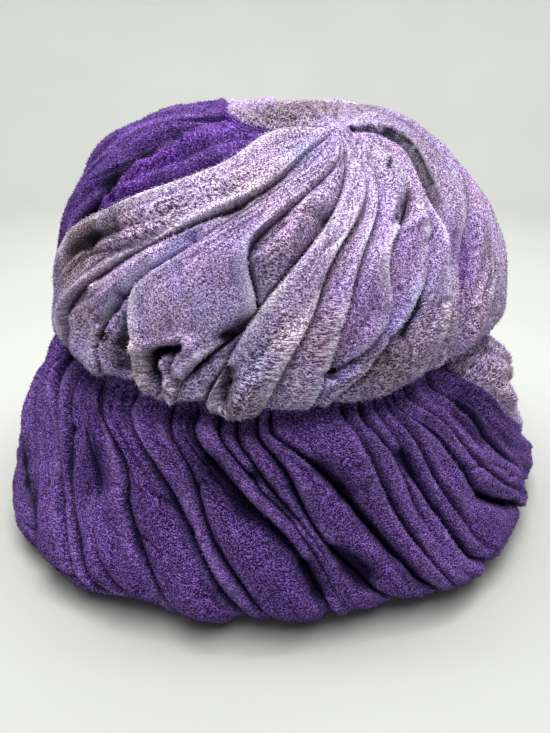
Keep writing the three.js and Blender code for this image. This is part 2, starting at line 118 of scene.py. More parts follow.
BRIM_KNOTS = (0, 0.25, 0.5, 0.75, 1.0)
BRIM_DEPTH_KNOTS = (0, 0.3, 0.6, 0.9)
BRIM_PITCH, BRIM_BACK_PITCH = 0.9, 1.7
BRIM_PLEATS = (
    ((-178, -169, -159, -160, -160), (1.0, 1.0, 1.0, 1.0), (0, 0), 3, 5.0),
    ((-167, -160, -147, -138.5, -132), (3.0, 6.0, 9.0, 7.0), (0, 0), 5, 3.2),
    ((-158, -142.5, -134, -126, -119), (4.0, 4.5, 3.0, 0.5), (0.2, 0), 4, 1.6),
    ((-146, -137, -131, -123.5, -116.5), (4.0, 4.5, 5.5, 5.5), (0.8, 0.4), 5, 1.2),
    ((-140, -130, -123.5, -117.5, -111), (2.0, 3.0, 0.8, 3.0), (0, 0.3), 6, 1.2),
    ((-135, -121.3, -115.5, -109.3, -105.5), (3.5, 4.5, 5.0, 3.5), (0.6, 0.5), 6, 3.0),
    ((-123, -111.8, -104, -97.3, -93), (4.0, 6.0, 6.0, 4.5), (-0.6, -0.4), 6, 1.6),
    ((-113, -105.8, -101, -93.7, -89), (4.0, 5.5, 5.5, 4.5), (0.3, 0.3), 6, 2.4),
    ((-107, -99, -87.7, -82, -78), (3.5, 6.5, 5.0, 4.5), (-1, -0.8), 6, 2.0),
    ((-102, -94.5, -84.9, -79.8, -76), (4.0, 6.5, 2.5, 0), (0.4, 0), 4, 1.4),
    ((-98, -92.3, -83.6, -78.4, -74.6), (4.0, 4.0, 1.0, 0), (0, 0), 4, 1.2),
    ((-93.5, -87.3, -82.1, -73.7, -67), (4.5, 6.0, 6.0, 6.5), (-0.4, 0), 5, 2.0),
    ((-91, -80.7, -72.8, -65.5, -58.5), (4.5, 7.0, 7.5, 6.5), (0, 0), 6, 3.2),
    ((-75.5, -72, -67.3, -61.5, -55.5), (3.5, 6.5, 5.0, 1.0), (0.3, 0), 4, 1.6),
    ((-71, -66.6, -63.2, -58, -52), (3.5, 3.5, 0.8, 0), (0, 0), 4, 1.2),
    ((-68, -64.2, -59.8, -54.4, -46.5), (3.5, 6.5, 6.5, 5.0), (0.2, 0.2), 4, 1.8),
    ((-65, -60.7, -56, -50, -41), (3.5, 4.5, 2.5, 0), (0, 0), 4, 1.8),
    ((-63, -55.3, -49.2, -35, -28), (4.0, 5.5, 6.5, 3.5), (0, -0.6), 5, 2.2),
    ((-59.5, -52.2, -44, -31, -23), (3.5, 4.5, 1.5, 0), (0, 0), 4, 1.8),
    ((-53, -44.4, -35.5, -26, -17), (3.5, 5.0, 5.0, 3.0), (0, 0), 5, 3.0),
    ((-46, -35.5, -21, -9, 0), (1.0, 1.5, 1.5, 1.5), (0, 0), 3, 2.0),
)
BACK_PLEATS = 11

# ---- strokes: local dents and ridges ------------------------------------------------
# angle, share -> angle, share: the two ends, wide: half width, out: how far the cloth is moved out
CROWN_STROKES = (
    (-146.0, 0.878, -139.5, 0.751, 2.4, 1.2),
    (-139.5, 0.751, -127.0, 0.607, 2.0, 1.1),
    (-127.0, 0.607, -117.0, 0.462, 1.8, 1.0),
    (-136.5, 0.836, -131.5, 0.739, 1.7, -1.5),
    (-131.5, 0.739, -126.0, 0.649, 1.6, -1.5),
    (-126.0, 0.649, -120.5, 0.533, 1.5, -1.3),
    (-120.5, 0.533, -114.0, 0.40, 1.3, -1.1),
    (-130.5, 0.77, -132.8, 0.838, 1.2, -3.0),
    (-132.8, 0.838, -132.3, 0.885, 1.2, -2.6),
    (-130.0, 0.786, -129.0, 0.833, 1.3, 1.4),
    (-129.0, 0.833, -125.5, 0.925, 1.5, 1.6),
    (-131.0, 0.86, -128.5, 0.93, 1.6, -1.2),
    (-124.6, 0.80, -122.8, 0.88, 1.5, -3.4),
    (-122.8, 0.88, -122.0, 0.96, 1.6, -3.4),
    (-131.5, 0.79, -130.6, 0.87, 1.2, -2.5),
    (-98.9, 0.69, -103.6, 0.77, 2.2, -3.6),
    (-103.6, 0.77, -108.2, 0.87, 1.8, -3.2),
    (-99.4, 0.52, -99.6, 0.60, 4, -0.8),
    (-90.5, 0.34, -100.4, 0.52, 4.0, 2.2),
    (-99.4, 0.425, -103.1, 0.513, 1.8, -2.5),
    (-155.5, 0.725, -148.0, 0.656, 4.5, -2.2),
    (-148.0, 0.656, -142.5, 0.592, 4.0, -2.0),
    (-117.0, 0.852, -116.0, 0.843, 1.7, -4.2),
    (-123.0, 0.80, -120.2, 0.885, 2.2, 0.7),
    (-120.2, 0.885, -118.2, 0.945, 2.2, 0.7),
    (-116.0, 0.845, -112.2, 0.818, 2.0, -4.2),
    (-119.5, 0.846, -111.5, 0.786, 2.0, 1.6),
    (-117.0, 0.862, -115.6, 0.905, 2.2, -5.0),
    (-115.6, 0.905, -113.8, 0.955, 2.0, -5.0),
    (-109.4, 0.80, -110.2, 0.885, 2.2, 2.6),
    (-113.2, 0.845, -112.4, 0.905, 1.5, -2.0),
    (-110.8, 0.92, -108.3, 0.885, 1.6, -2.2),
    (-111.0, 0.945, -106.1, 0.935, 4, 1.6),
    (-114.4, 0.955, -110.6, 0.978, 1.6, 1.8),
    (-110.6, 0.978, -104.4, 0.958, 1.6, 1.8),
    (-115.0, 0.862, -114.3, 0.955, 1.6, 2.2),
    (-100.4, 0.86, -100.4, 0.96, 2.0, -3.6),
    (-103.4, 0.985, -102.0, 0.86, 1.8, 1.6),
    (-97.0, 0.895, -96.4, 1.0, 6, 2.6),
    (-49.5, 0.335, -60.7, 0.425, 2.4, -2.8),
    (-62.0, 0.447, -53.0, 0.422, 1.4, 1.8),
    (-82.6, 0.881, -80.1, 0.88, 1.6, -2.6),
    (-80.1, 0.88, -76.5, 0.844, 1.6, -2.6),
    (-81.2, 0.909, -76.0, 0.866, 3, 1.6),
    (-70.6, 0.50, -70.8, 0.66, 2.4, 1.0),
    (-7.5, 0.045, -81.5, 0.19, 0.9, -1.2),
    (-32.0, 0.07, -74.0, 0.188, 0.9, -1.2),
    (-35.0, 0.115, -60.0, 0.193, 0.9, -1.2),
    (-168.5, 0.151, -184.0, 0.11, 1.6, -1.4),
    (-184.0, 0.11, -207.0, 0.084, 1.6, -1.6),
    (-207.0, 0.084, 118.5, 0.068, 1.5, -1.6),
    (118.5, 0.068, 82.0, 0.084, 1.4, -1.4),
    (-68.9, 0.795, -68.0, 0.888, 1.6, -1.6),
    (-32.5, 0.673, -43.5, 0.80, 1.8, 1.4),
    (-43.5, 0.80, -47.0, 0.947, 1.8, 1.2),
    (-116.5, 0.696, -110.4, 0.594, 16, 2.0),
    (-77.0, 0.732, -73.0, 0.585, 9, 1.5),
)
PURPLE_STROKES = (
    (-156.5, 0.507, -152.0, 0.443, 3.4, 1.3),
    (-152.0, 0.443, -151.0, 0.38, 3.4, 1.3),
    (-151.0, 0.38, -157.0, 0.321, 3.2, 1.3),
    (-157.0, 0.321, -154.0, 0.238, 3.2, 1.2),
    (-155.5, 0.633, -153.5, 0.557, 3.2, 0.9),
    (-153.5, 0.557, -148.5, 0.507, 3.0, 0.9),
    (-148.5, 0.507, -144.0, 0.484, 2.8, 0.8),
    (-179.0, 0.254, -169.0, 0.226, 2.6, 1.4),
    (-169.0, 0.226, -157.0, 0.224, 2.6, 1.2),
    (-148.5, 0.505, -142.0, 0.415, 4.0, 1.4),
    (-142.0, 0.415, -141.0, 0.309, 4.0, 1.4),
    (-141.0, 0.469, -152.5, 0.547, 1.3, -2.0),
    (-152.5, 0.547, -155.2, 0.63, 1.3, -2.2),
        (-161.0, 0.725, -157.5, 0.616, 3.4, -2.4),
    (-157.5, 0.616, -160.0, 0.526, 4.4, -3.0),
    (-160.0, 0.526, -163.0, 0.432, 5.4, -3.2),
    (-163.0, 0.432, -166.0, 0.332, 5.4, -2.6),
    (-148.0, 0.40, -149.5, 0.31, 2.4, -1.6),
    (-134.5, 0.40, -133.5, 0.345, 2.4, -2.2),
)
BRIM_STROKES = (
    (-131.5, 0.10, -124.5, 0.44, 7, -1.7),
    (-123.0, 0.492, -117.5, 0.441, 4, 1.2),
    (-123.2, 0.232, -119.5, 0.421, 2.2, 1.0),
    (-132.0, 0.866, -123.8, 0.826, 1.6, -1.6),
    (-100.5, 0.207, -95.5, 0.386, 5, -2.6),
    (-95.5, 0.386, -87.2, 0.529, 4, -1.0),
    (-84.5, 0.626, -82.5, 0.737, 3.5, -4),
    (-101.2, 0.087, -92.0, 0.318, 3, 1.6),
    (-92.0, 0.318, -79.8, 0.615, 3.2, 1.8),
    (-93.8, 0.252, -86.2, 0.438, 1.8, -3),
    (-87.8, 0.121, -78.0, 0.389, 4, 1.4),
    (-79.5, 0.526, -73.8, 0.597, 3, 1.4),
    (-79.2, 0.575, -75.2, 0.689, 4.5, -4.5),
    (-82.2, 0.221, -77.8, 0.338, 3.6, -3.0),
    (-77.8, 0.338, -69.8, 0.623, 2.6, -1.5),
    (-75.5, 0.104, -64.8, 0.603, 6, 1.6),
    (-65.2, 0.244, -63.2, 0.332, 2.6, -3),
    (-73.2, 0.167, -68.0, 0.446, 1.8, -2.5),
    (-62.8, 0.369, -54.2, 0.76, 1.8, -1.6),
    (-52.2, 0.401, -37.2, 0.612, 7, 2.4),
    (-49.2, 0.52, -39.5, 0.675, 2.4, -2.6),
    (-48.0, 0.155, -43.0, 0.326, 6, -1.8),
    (-105.2, 0.626, -87.5, 0.712, 14, 1.4),
    (-121.2, 0.566, -114.2, 0.683, 9, 1.2),
    (-68.0, 0.666, -53.2, 0.88, 6, 1.6),
)

# ---- tones: places where the colour is browner, bluer or more violet, and places of painted highlight and painted shade ---
# angle, share -> angle, share: the two ends, wide: half width, amount, which tone
# pale rows are painted highlight along fold ridges and shiny patches; deep, dark and the grey dimming rows are painted
# shade in valleys, crease gaps and broad areas that get less light
CROWN_TONES = (
    (-153.3, 0.782, -151.5, 0.702, 8, 0.8, "brown"), (-151.8, 0.674, -141.6, 0.588, 8, 0.9, "brown"), (-152.0, 0.76, -146.5, 0.66, 8, 0.6, "brown"),
    (95, 0.20, 180, 0.14, 16, 0.75, "brown"), (85, 0.14, 150, 0.2, 8, 0.3, "violet"),
    (60, 0.16, 10, 0.2, 14, 0.1, "violet"), (0, 0.22, -25, 0.40, 9, 0.15, "violet"), (30, 0.3, -10, 0.45, 16, 0.3, "violet"),
    (-146.0, 0.878, -139.5, 0.751, 2.6, 0.7, "pale"), (-139.5, 0.751, -127.0, 0.607, 2.2, 0.8, "pale"), (-127.0, 0.607, -117.0, 0.462, 2.0, 0.9, "pale"),
    (-141.9, 0.853, -133.1, 0.883, 7, 0.45, "brown"), (-128.3, 0.856, -124.5, 0.925, 6, 0.5, "brown"),
    (-112.5, 0.962, -105.4, 0.981, 5, 0.4, "brown"), (-97.1, 0.931, -96.4, 1.02, 9, 0.7, "brown"),
    (-90.6, 0.793, -87.1, 0.904, 10, 0.2, "brown"), (-71.4, 0.879, -67.2, 0.904, 10, 0.9, "brown"),
    (-63.3, 0.805, -56.4, 0.812, 10, 0.15, "brown"), (-51.6, 0.798, -45.9, 0.751, 8, 0.4, "brown"),
    (-136.5, 0.836, -131.5, 0.739, 2.4, 0.6, "blue"), (-131.5, 0.739, -126.0, 0.649, 2.2, 0.6, "blue"), (-126.0, 0.649, -120.5, 0.533, 2.0, 0.5, "blue"),
    (-108.2, 0.49, -102.8, 0.59, 6, 0.5, "blue"), (-104.7, 0.708, -102.6, 0.617, 7, 0.4, "blue"),
    (-99.9, 0.754, -96.6, 0.827, 8, 0.6, "blue"), (-82.1, 0.906, -76.1, 0.837, 5, 0.9, "blue"),
    (-68.9, 0.785, -60.5, 0.644, 6, 0.7, "blue"), (4.2, 0.302, -12.1, 0.345, 5, 0.8, "blue"),
    (-109.7, 0.19, -106.2, 0.103, 5, 0.5, "blue"), (-70.3, 0.498, -60.4, 0.292, 6, 0.35, "blue"),
    (-122.5, 0.585, -119.7, 0.496, 4, 0.5, "blue"),
    (-109.7, 0.247, -112.2, 0.331, 7, 0.5, "pale"), (-126.3, 0.409, -121.6, 0.375, 8, 0.4, "pale"),
    (-70.0, 0.68, -69.4, 0.50, 1.8, 0.5, "pale"), (-67.5, 0.472, -59.3, 0.377, 1.8, 0.25, "pale"), (-48.5, 0.413, -56.5, 0.519, 1.8, 0.5, "pale"), (-56.5, 0.519, -61.5, 0.63, 1.6, 0.4, "pale"),
    (-39.5, 0.167, -50.0, 0.222, 0.6, 1.5, "dark"),
    (-34.0, 0.358, -42.0, 0.505, 1.3, 0.9, "deep"), (-42.0, 0.505, -44.5, 0.602, 1.3, 0.9, "deep"), (-44.5, 0.602, -51.0, 0.786, 1.3, 0.7, "deep"),
    (-29.5, 0.451, -37.5, 0.581, 1.4, 0.9, "deep"), (-37.5, 0.581, -45.0, 0.722, 1.4, 0.8, "deep"), (-44.3, 0.413, -52.3, 0.519, 1.2, 0.8, "deep"), (-52.3, 0.519, -57.8, 0.642, 1.2, 0.8, "deep"),
    (-37.8, 0.358, -45.8, 0.505, 1.1, 0.9, "pale"), (-45.8, 0.505, -48.3, 0.602, 1.1, 0.9, "pale"), (-48.3, 0.602, -51.5, 0.69, 1.1, 0.4, "pale"),
    (-33.8, 0.451, -41.8, 0.581, 1.1, 0.8, "pale"), (-41.8, 0.581, -49.3, 0.722, 1.1, 0.6, "pale"), (-117.0, 0.865, -115.4, 0.91, 1.8, 0.9, "dark"), (-115.4, 0.91, -113.8, 0.95, 1.6, 0.8, "dark"), (-122.0, 0.83, -118.0, 0.95, 4.0, 0.8, "brown"),
    (-100.9, 0.63, -97.1, 0.609, 6, 0.5, "pale"), (-90.9, 0.73, -93.1, 0.804, 5, 0.6, "pale"),
    (-75.7, 0.644, -72.8, 0.782, 9, 0.6, "violet"), (-63.3, 0.492, -60.3, 0.531, 9, 0.6, "violet"),
    (-117.0, 0.593, -112.8, 0.515, 14, 0.3, "violet"), (-85.8, 0.669, -82.4, 0.584, 8, 0.2, "violet"),
    (-40.3, 0.534, -41.0, 0.634, 6, 0.5, "violet"), (-28.0, 0.51, -42.0, 0.66, 4, 0.8, "violet"), (-42.0, 0.66, -48.0, 0.80, 4, 0.6, "violet"),
    (18.5, 0.04, 10.5, 0.087, 0.6, 2.4, "dark"), (10.5, 0.087, -0.5, 0.135, 0.65, 2.6, "dark"), (-0.5, 0.135, -14.5, 0.221, 0.65, 2.6, "dark"),
    (-14.5, 0.221, -27.0, 0.283, 0.65, 2.4, "dark"), (-27.0, 0.283, -32.5, 0.335, 0.65, 1.6, "dark"), (-32.5, 0.335, -37.5, 0.40, 0.6, 0.6, "dark"),
    (-59.0, 0.655, -61.0, 0.71, 1.2, 1.4, "dark"), (-61.0, 0.71, -65.3, 0.80, 1.2, 1.4, "dark"), (-131.5, 0.78, -134.5, 0.85, 1.2, 0.9, "dark"),
    (95, 0.20, 180, 0.14, 16, 1.0, "dusk"), (95, 0.20, 180, 0.14, 16, 0.3, "deep"), (-184.0, 0.11, -207.0, 0.084, 1.7, 0.9, "deep"), (-207.0, 0.084, 118.5, 0.068, 1.7, 0.9, "deep"), (118.5, 0.068, 82.0, 0.084, 1.6, 0.9, "deep"),
    (60, 0.16, 10, 0.2, 14, 0.25, "brown"), (-62.0, 0.78, -56.0, 0.80, 6, 0.35, "pale"), (-88.5, 0.60, -90.0, 0.72, 7, 0.3, "pale"), (10, 0.2, -30, 0.38, 9, 0.8, "dusk"), (60, 0.16, 10, 0.2, 14, 1.2, "dusk"), (10, 0.3, -28, 0.6, 14, 0.4, "dusk"), (-20, 0.45, -34, 0.7, 9, 0.2, "brown"),
    (-109.0, 0.44, -106.5, 0.55, 7, 0.9, "dusk"), (-108.0, 0.45, -105.0, 0.58, 5, 0.4, "violet"), (-69.0, 0.46, -70.0, 0.55, 3, 0.6, "dusk"), (-99.9, 0.754, -96.6, 0.827, 6, 0.8, "dusk"), (-60.0, 0.16, -90.0, 0.2, 14, 0.4, "dusk"), (-125.0, 0.45, -112.0, 0.22, 10, 0.5, "dusk"), (-105.5, 0.47, -99.5, 0.66, 4.5, 1.0, "dusk"), (-72.0, 0.885, -66.0, 0.91, 8, 0.8, "dusk"),
    (-132.3, 0.79, -131.6, 0.86, 1.8, 0.8, "dark"), (-126.6, 0.78, -125.4, 0.85, 2.4, 0.9, "dark"), (-125.4, 0.85, -124.4, 0.94, 2.6, 0.9, "dark"),
    (-132.0, 0.5, -120.0, 0.36, 8, 0.8, "comb"), (-140.0, 0.62, -130.0, 0.52, 7, 0.8, "comb"),
    (-100.0, 0.50, -95.0, 0.60, 7, 0.9, "comb"), (-96.0, 0.36, -86.0, 0.25, 7, 0.7, "comb"),
    (-92.0, 0.70, -95.0, 0.82, 5, 0.6, "comb"), (-82.0, 0.66, -84.0, 0.80, 8, 0.8, "comb"),
    (-58.0, 0.70, -56.0, 0.80, 7, 0.6, "comb"),
)

# painted highlight along the purple ridges and painted shade in its valleys and gaps
PURPLE_TONES = (
    (-156.0, 0.507, -151.5, 0.443, 2.2, 0.5, "bright"), (-151.5, 0.443, -150.5, 0.38, 2.2, 0.5, "bright"), (-150.5, 0.38, -156.5, 0.321, 2.2, 0.5, "bright"), (-156.5, 0.321, -153.5, 0.238, 2.2, 0.6, "bright"),
    (-155.5, 0.633, -153.5, 0.557, 1.4, 0.7, "bright"), (-153.5, 0.557, -148.5, 0.507, 1.5, 0.8, "bright"), (-148.5, 0.507, -144.0, 0.484, 1.4, 0.7, "bright"),
    (-155.0, 0.53, -147.5, 0.465, 4.0, 0.3, "bright"), (-147.0, 0.44, -147.0, 0.373, 1.8, 0.6, "bright"), (-169.0, 0.226, -157.0, 0.224, 1.6, 0.7, "bright"),
    (-158.5, 0.62, -160.5, 0.526, 3.4, 0.9, "deep"), (-160.5, 0.526, -163.5, 0.432, 4.4, 0.9, "deep"), (-163.5, 0.432, -166.0, 0.34, 4.0, 0.8, "deep"),
    (-147.0, 0.42, -147.5, 0.31, 2.6, 0.6, "deep"), (-134.5, 0.41, -133.5, 0.345, 2.0, 0.7, "dark"),
)

# painted shade in the pleat gaps and pockets and a painted highlight patch, with the brim's own tones
BRIM_TONES = (
    (-151.5, 0.50, -149.0, 0.57, 2.2, 0.8, "dark"), (-149.0, 0.57, -146.0, 0.637, 2.4, 0.8, "dark"), (-146.0, 0.637, -138.5, 0.719, 2.2, 0.8, "dark"),
    (-128.0, 0.278, -126.3, 0.43, 7, 0.55, "deep"), (-125.5, 0.30, -122.5, 0.38, 5, 0.5, "deep"),
    (-102.5, 0.18, -100.0, 0.255, 1.8, 0.6, "dark"), (-100.0, 0.255, -98.5, 0.30, 2.4, 0.25, "deep"),
    (-94.0, 0.214, -91.0, 0.289, 1.3, 0.9, "dark"), (-91.0, 0.289, -87.5, 0.384, 1.3, 0.9, "dark"),
    (-121.2, 0.566, -114.2, 0.683, 9, 0.3, "bright"),
)
BACK_BRIM_STROKES = (
    (-36.0, 0.0, -36.0, 0.07, 2.2, 1.6), (-36.0, 0.07, -36.5, 0.14, 2.0, 1.8), (-31.0, 0.10, -33.5, 0.19, 2.2, -2.8),
    (-29.5, 0.16, -22.0, 0.18, 1.8, 1.8), (-22.0, 0.02, -22.5, 0.06, 2.0, -2.6), (-16.0, 0.27, -20.0, 0.36, 3.0, -2.4), (-32.0, 0.22, -27.5, 0.33, 2.0, 1.4),
)
# brown, blue and violet rows change the dye; dark rows are painted shade in pleat gaps and the pale row a painted
# highlight
BACK_BRIM_TONES = (
    (-31.0, 0.10, -33.5, 0.19, 2.4, 1.0, "brown"), (-31.0, 0.11, -33.0, 0.18, 1.2, 0.7, "dark"), (-16.0, 0.26, -20.5, 0.36, 4.0, 1.0, "brown"),
    (-22.0, 0.01, -22.5, 0.05, 1.8, 0.8, "blue"), (-40.0, 0.02, -30.0, 0.25, 14, 0.7, "brown"), (-40.0, 0.02, -30.0, 0.25, 14, 0.5, "pale"), (-22.0, 0.03, -25.0, 0.06, 1.4, 0.6, "dark"),
    (-10.0, 0.2, 20.0, 0.6, 16, 0.4, "brown"), (60.0, 0.3, 90.0, 0.7, 18, 0.4, "brown"), (140.0, 0.2, 160.0, 0.7, 18, 0.35, "violet"),
)

# ---- small helpers ------------------------------------------------------------------


def step(lo, hi, x):
    t = np.clip((x - lo) / (hi - lo), 0, 1)
    return t * t * (3 - 2 * t)


def hermite(rows, k):
    rows = np.asarray(rows, float)
    last = len(rows) - 1
    slope = np.empty_like(rows)
    slope[1:-1] = (rows[2:] - rows[:-2]) / 2
    slope[0], slope[-1] = rows[1] - rows[0], rows[-1] - rows[-2]
    k = np.clip(k, 0, last)
    i = np.minimum(k.astype(int), last - 1)
    u = (k - i)[:, None]
    return (rows[i] * (2 * u**3 - 3 * u**2 + 1) + slope[i] * (u**3 - 2 * u**2 + u)
            + rows[i + 1] * (3 * u**2 - 2 * u**3) + slope[i + 1] * (u**3 - u**2))


class Section:
    """A profile walked by length of cloth, with its outward normal."""

    def __init__(self, rows, start_row=0, steps=2400):
        k = np.linspace(0, len(rows) - 1, steps + 1)
        p = hermite(rows, k)
        p[:, 1] = np.maximum(p[:, 1], 0)
        s = np.concatenate([[0], np.cumsum(np.hypot(*np.diff(p, axis=0).T))])
        self.s = s - np.interp(start_row, k, s)
        self.p = p

    def at(self, s):
        s = np.clip(s, self.s[0], self.s[-1])
        return np.interp(s, self.s, self.p[:, 0]), np.interp(s, self.s, self.p[:, 1])

    def normal(self, s, reach=1.2):
        r0, z0 = self.at(s - reach)
        r1, z1 = self.at(s + reach)
        nr, nz = -(z1 - z0), r1 - r0
        k = np.maximum(np.hypot(nr, nz), 1e-9)
        return nr / k, nz / k


crown_section = Section(CROWN_SECTION)
brim_section = Section(BRIM_SECTION, BRIM_START)


def along(knots, values, x):
    """Smooth value of a table row between its knots; values may be a list of rows."""
    knots, values = np.asarray(knots, float), np.atleast_2d(np.asarray(values, float))
    m = np.zeros_like(values)
    if len(knots) > 2:
        m[:, 1:-1] = (values[:, 2:] - values[:, :-2]) / (knots[2:] - knots[:-2])
    xc = np.clip(x, knots[0], knots[-1])
    i = np.clip(np.searchsorted(knots, xc, side="right") - 1, 0, len(knots) - 2)
    h = knots[i + 1] - knots[i]
    f = (xc - knots[i]) / h
    return (values[:, i] * (2 * f**3 - 3 * f**2 + 1) + m[:, i] * h * (f**3 - 2 * f**2 + f)
            + values[:, i + 1] * (3 * f**2 - 2 * f**3) + m[:, i + 1] * h * (f**3 - f**2))


def settle(p):
    """The whole hat's slow swells and the lean of the crown."""
    x, y, z = p[..., 0], p[..., 1], p[..., 2]
    angle = np.degrees(np.arctan2(y, x))
    radius = np.hypot(x, y)
    out, up = np.zeros_like(z), np.zeros_like(z)
    for at, height, wide, tall, move, lift in SWELLS:
        turn = (angle - at + 540) % 360 - 180
        g = np.exp(-((turn / wide) ** 2) - ((z - height) / tall) ** 2) * step(0, 40, radius)
        out, up = out + move * g, up + lift * g
    grow = (radius + out * step(0, 6, z + 1)) / np.maximum(radius, 1e-6)
    lean, low, high = CROWN_LEAN
    return np.stack([x * grow + lean * step(low, high, z), y * grow, z + up], -1)


def crown_base(angle, share):
    a = np.radians(angle)
    s = np.minimum(share, 1)
    ex, ey = np.cos(a), np.sin(a)
    x = np.where(share > 1, ex * share, GATHER[0] + s * (ex - GATHER[0]))
    y = np.where(share > 1, ey * share, GATHER[1] + s * (ey - GATHER[1]))
    rho = np.hypot(x, y)
    r, z = crown_section.at(rho * CROWN_SLOPE)
    nr, nz = crown_section.normal(rho * CROWN_SLOPE)
    cx, cy = x / np.maximum(rho, 1e-9), y / np.maximum(rho, 1e-9)
    return np.stack([cx * r, cy * r, z], -1), np.stack([cx * nr, cy * nr, nz], -1)


def brim_base(angle, share):
    a = np.radians(angle)
    r, z = brim_section.at(share * BRIM_DROP)
    nr, nz = brim_section.normal(share * BRIM_DROP)
    c, s = np.cos(a), np.sin(a)
    return np.stack([c * r, s * r, z], -1), np.stack([c * nr, s * nr, nz], -1)


def waves(rng, q, s, count, across, lengthways):
    """Smooth seeded noise with given wavelengths across and along the folds, about -1 to 1."""
    total = np.zeros(np.broadcast(q, s).shape)
    for _ in range(count):
        kq = 2 * np.pi / rng.uniform(*across) * rng.choice([-1, 1])
        ks = 2 * np.pi / rng.uniform(*lengthways)
        total += np.cos(kq * q + ks * s + rng.uniform(0, 2 * np.pi))
    return total * math.sqrt(2 / count)


def strokes_height(points, base, strokes):
    """Sum of local dents and ridges (or tones) at points of the base form."""
    total = np.zeros(points.shape[:-1])
    for a0, s0, a1, s1, wide, out in strokes:
        p, q = (base(np.array([a], float), np.array([s], float))[0][0] for a, s in ((a0, s0), (a1, s1)))
        d = q - p
        t = np.clip(((points - p) @ d) / max(d @ d, 1e-9), 0, 1)
        gap = np.linalg.norm(points - p - t[..., None] * d, axis=-1)
        total += out * np.exp(-((gap / wide) ** 2))
    return total


def between(first, last, count, depth, pitch):
    """Plain folds shared out between two given ones."""
    rows = []
    for i in range(count):
        f = (i + 1) / (count + 1)
        rows.append((
            tuple(a + f * (b - a) for a, b in zip(first[0], last[0])),
            tuple(depth * (0.8 if i % 2 else 1.0) for _ in first[1]),
            (0.5 if i % 3 else -0.5,) * 2, 4, 1.8, 0.0, pitch,
        ))
    return rows


# ---- a drape: the outer face with its folds, and the inner face behind it ---------------


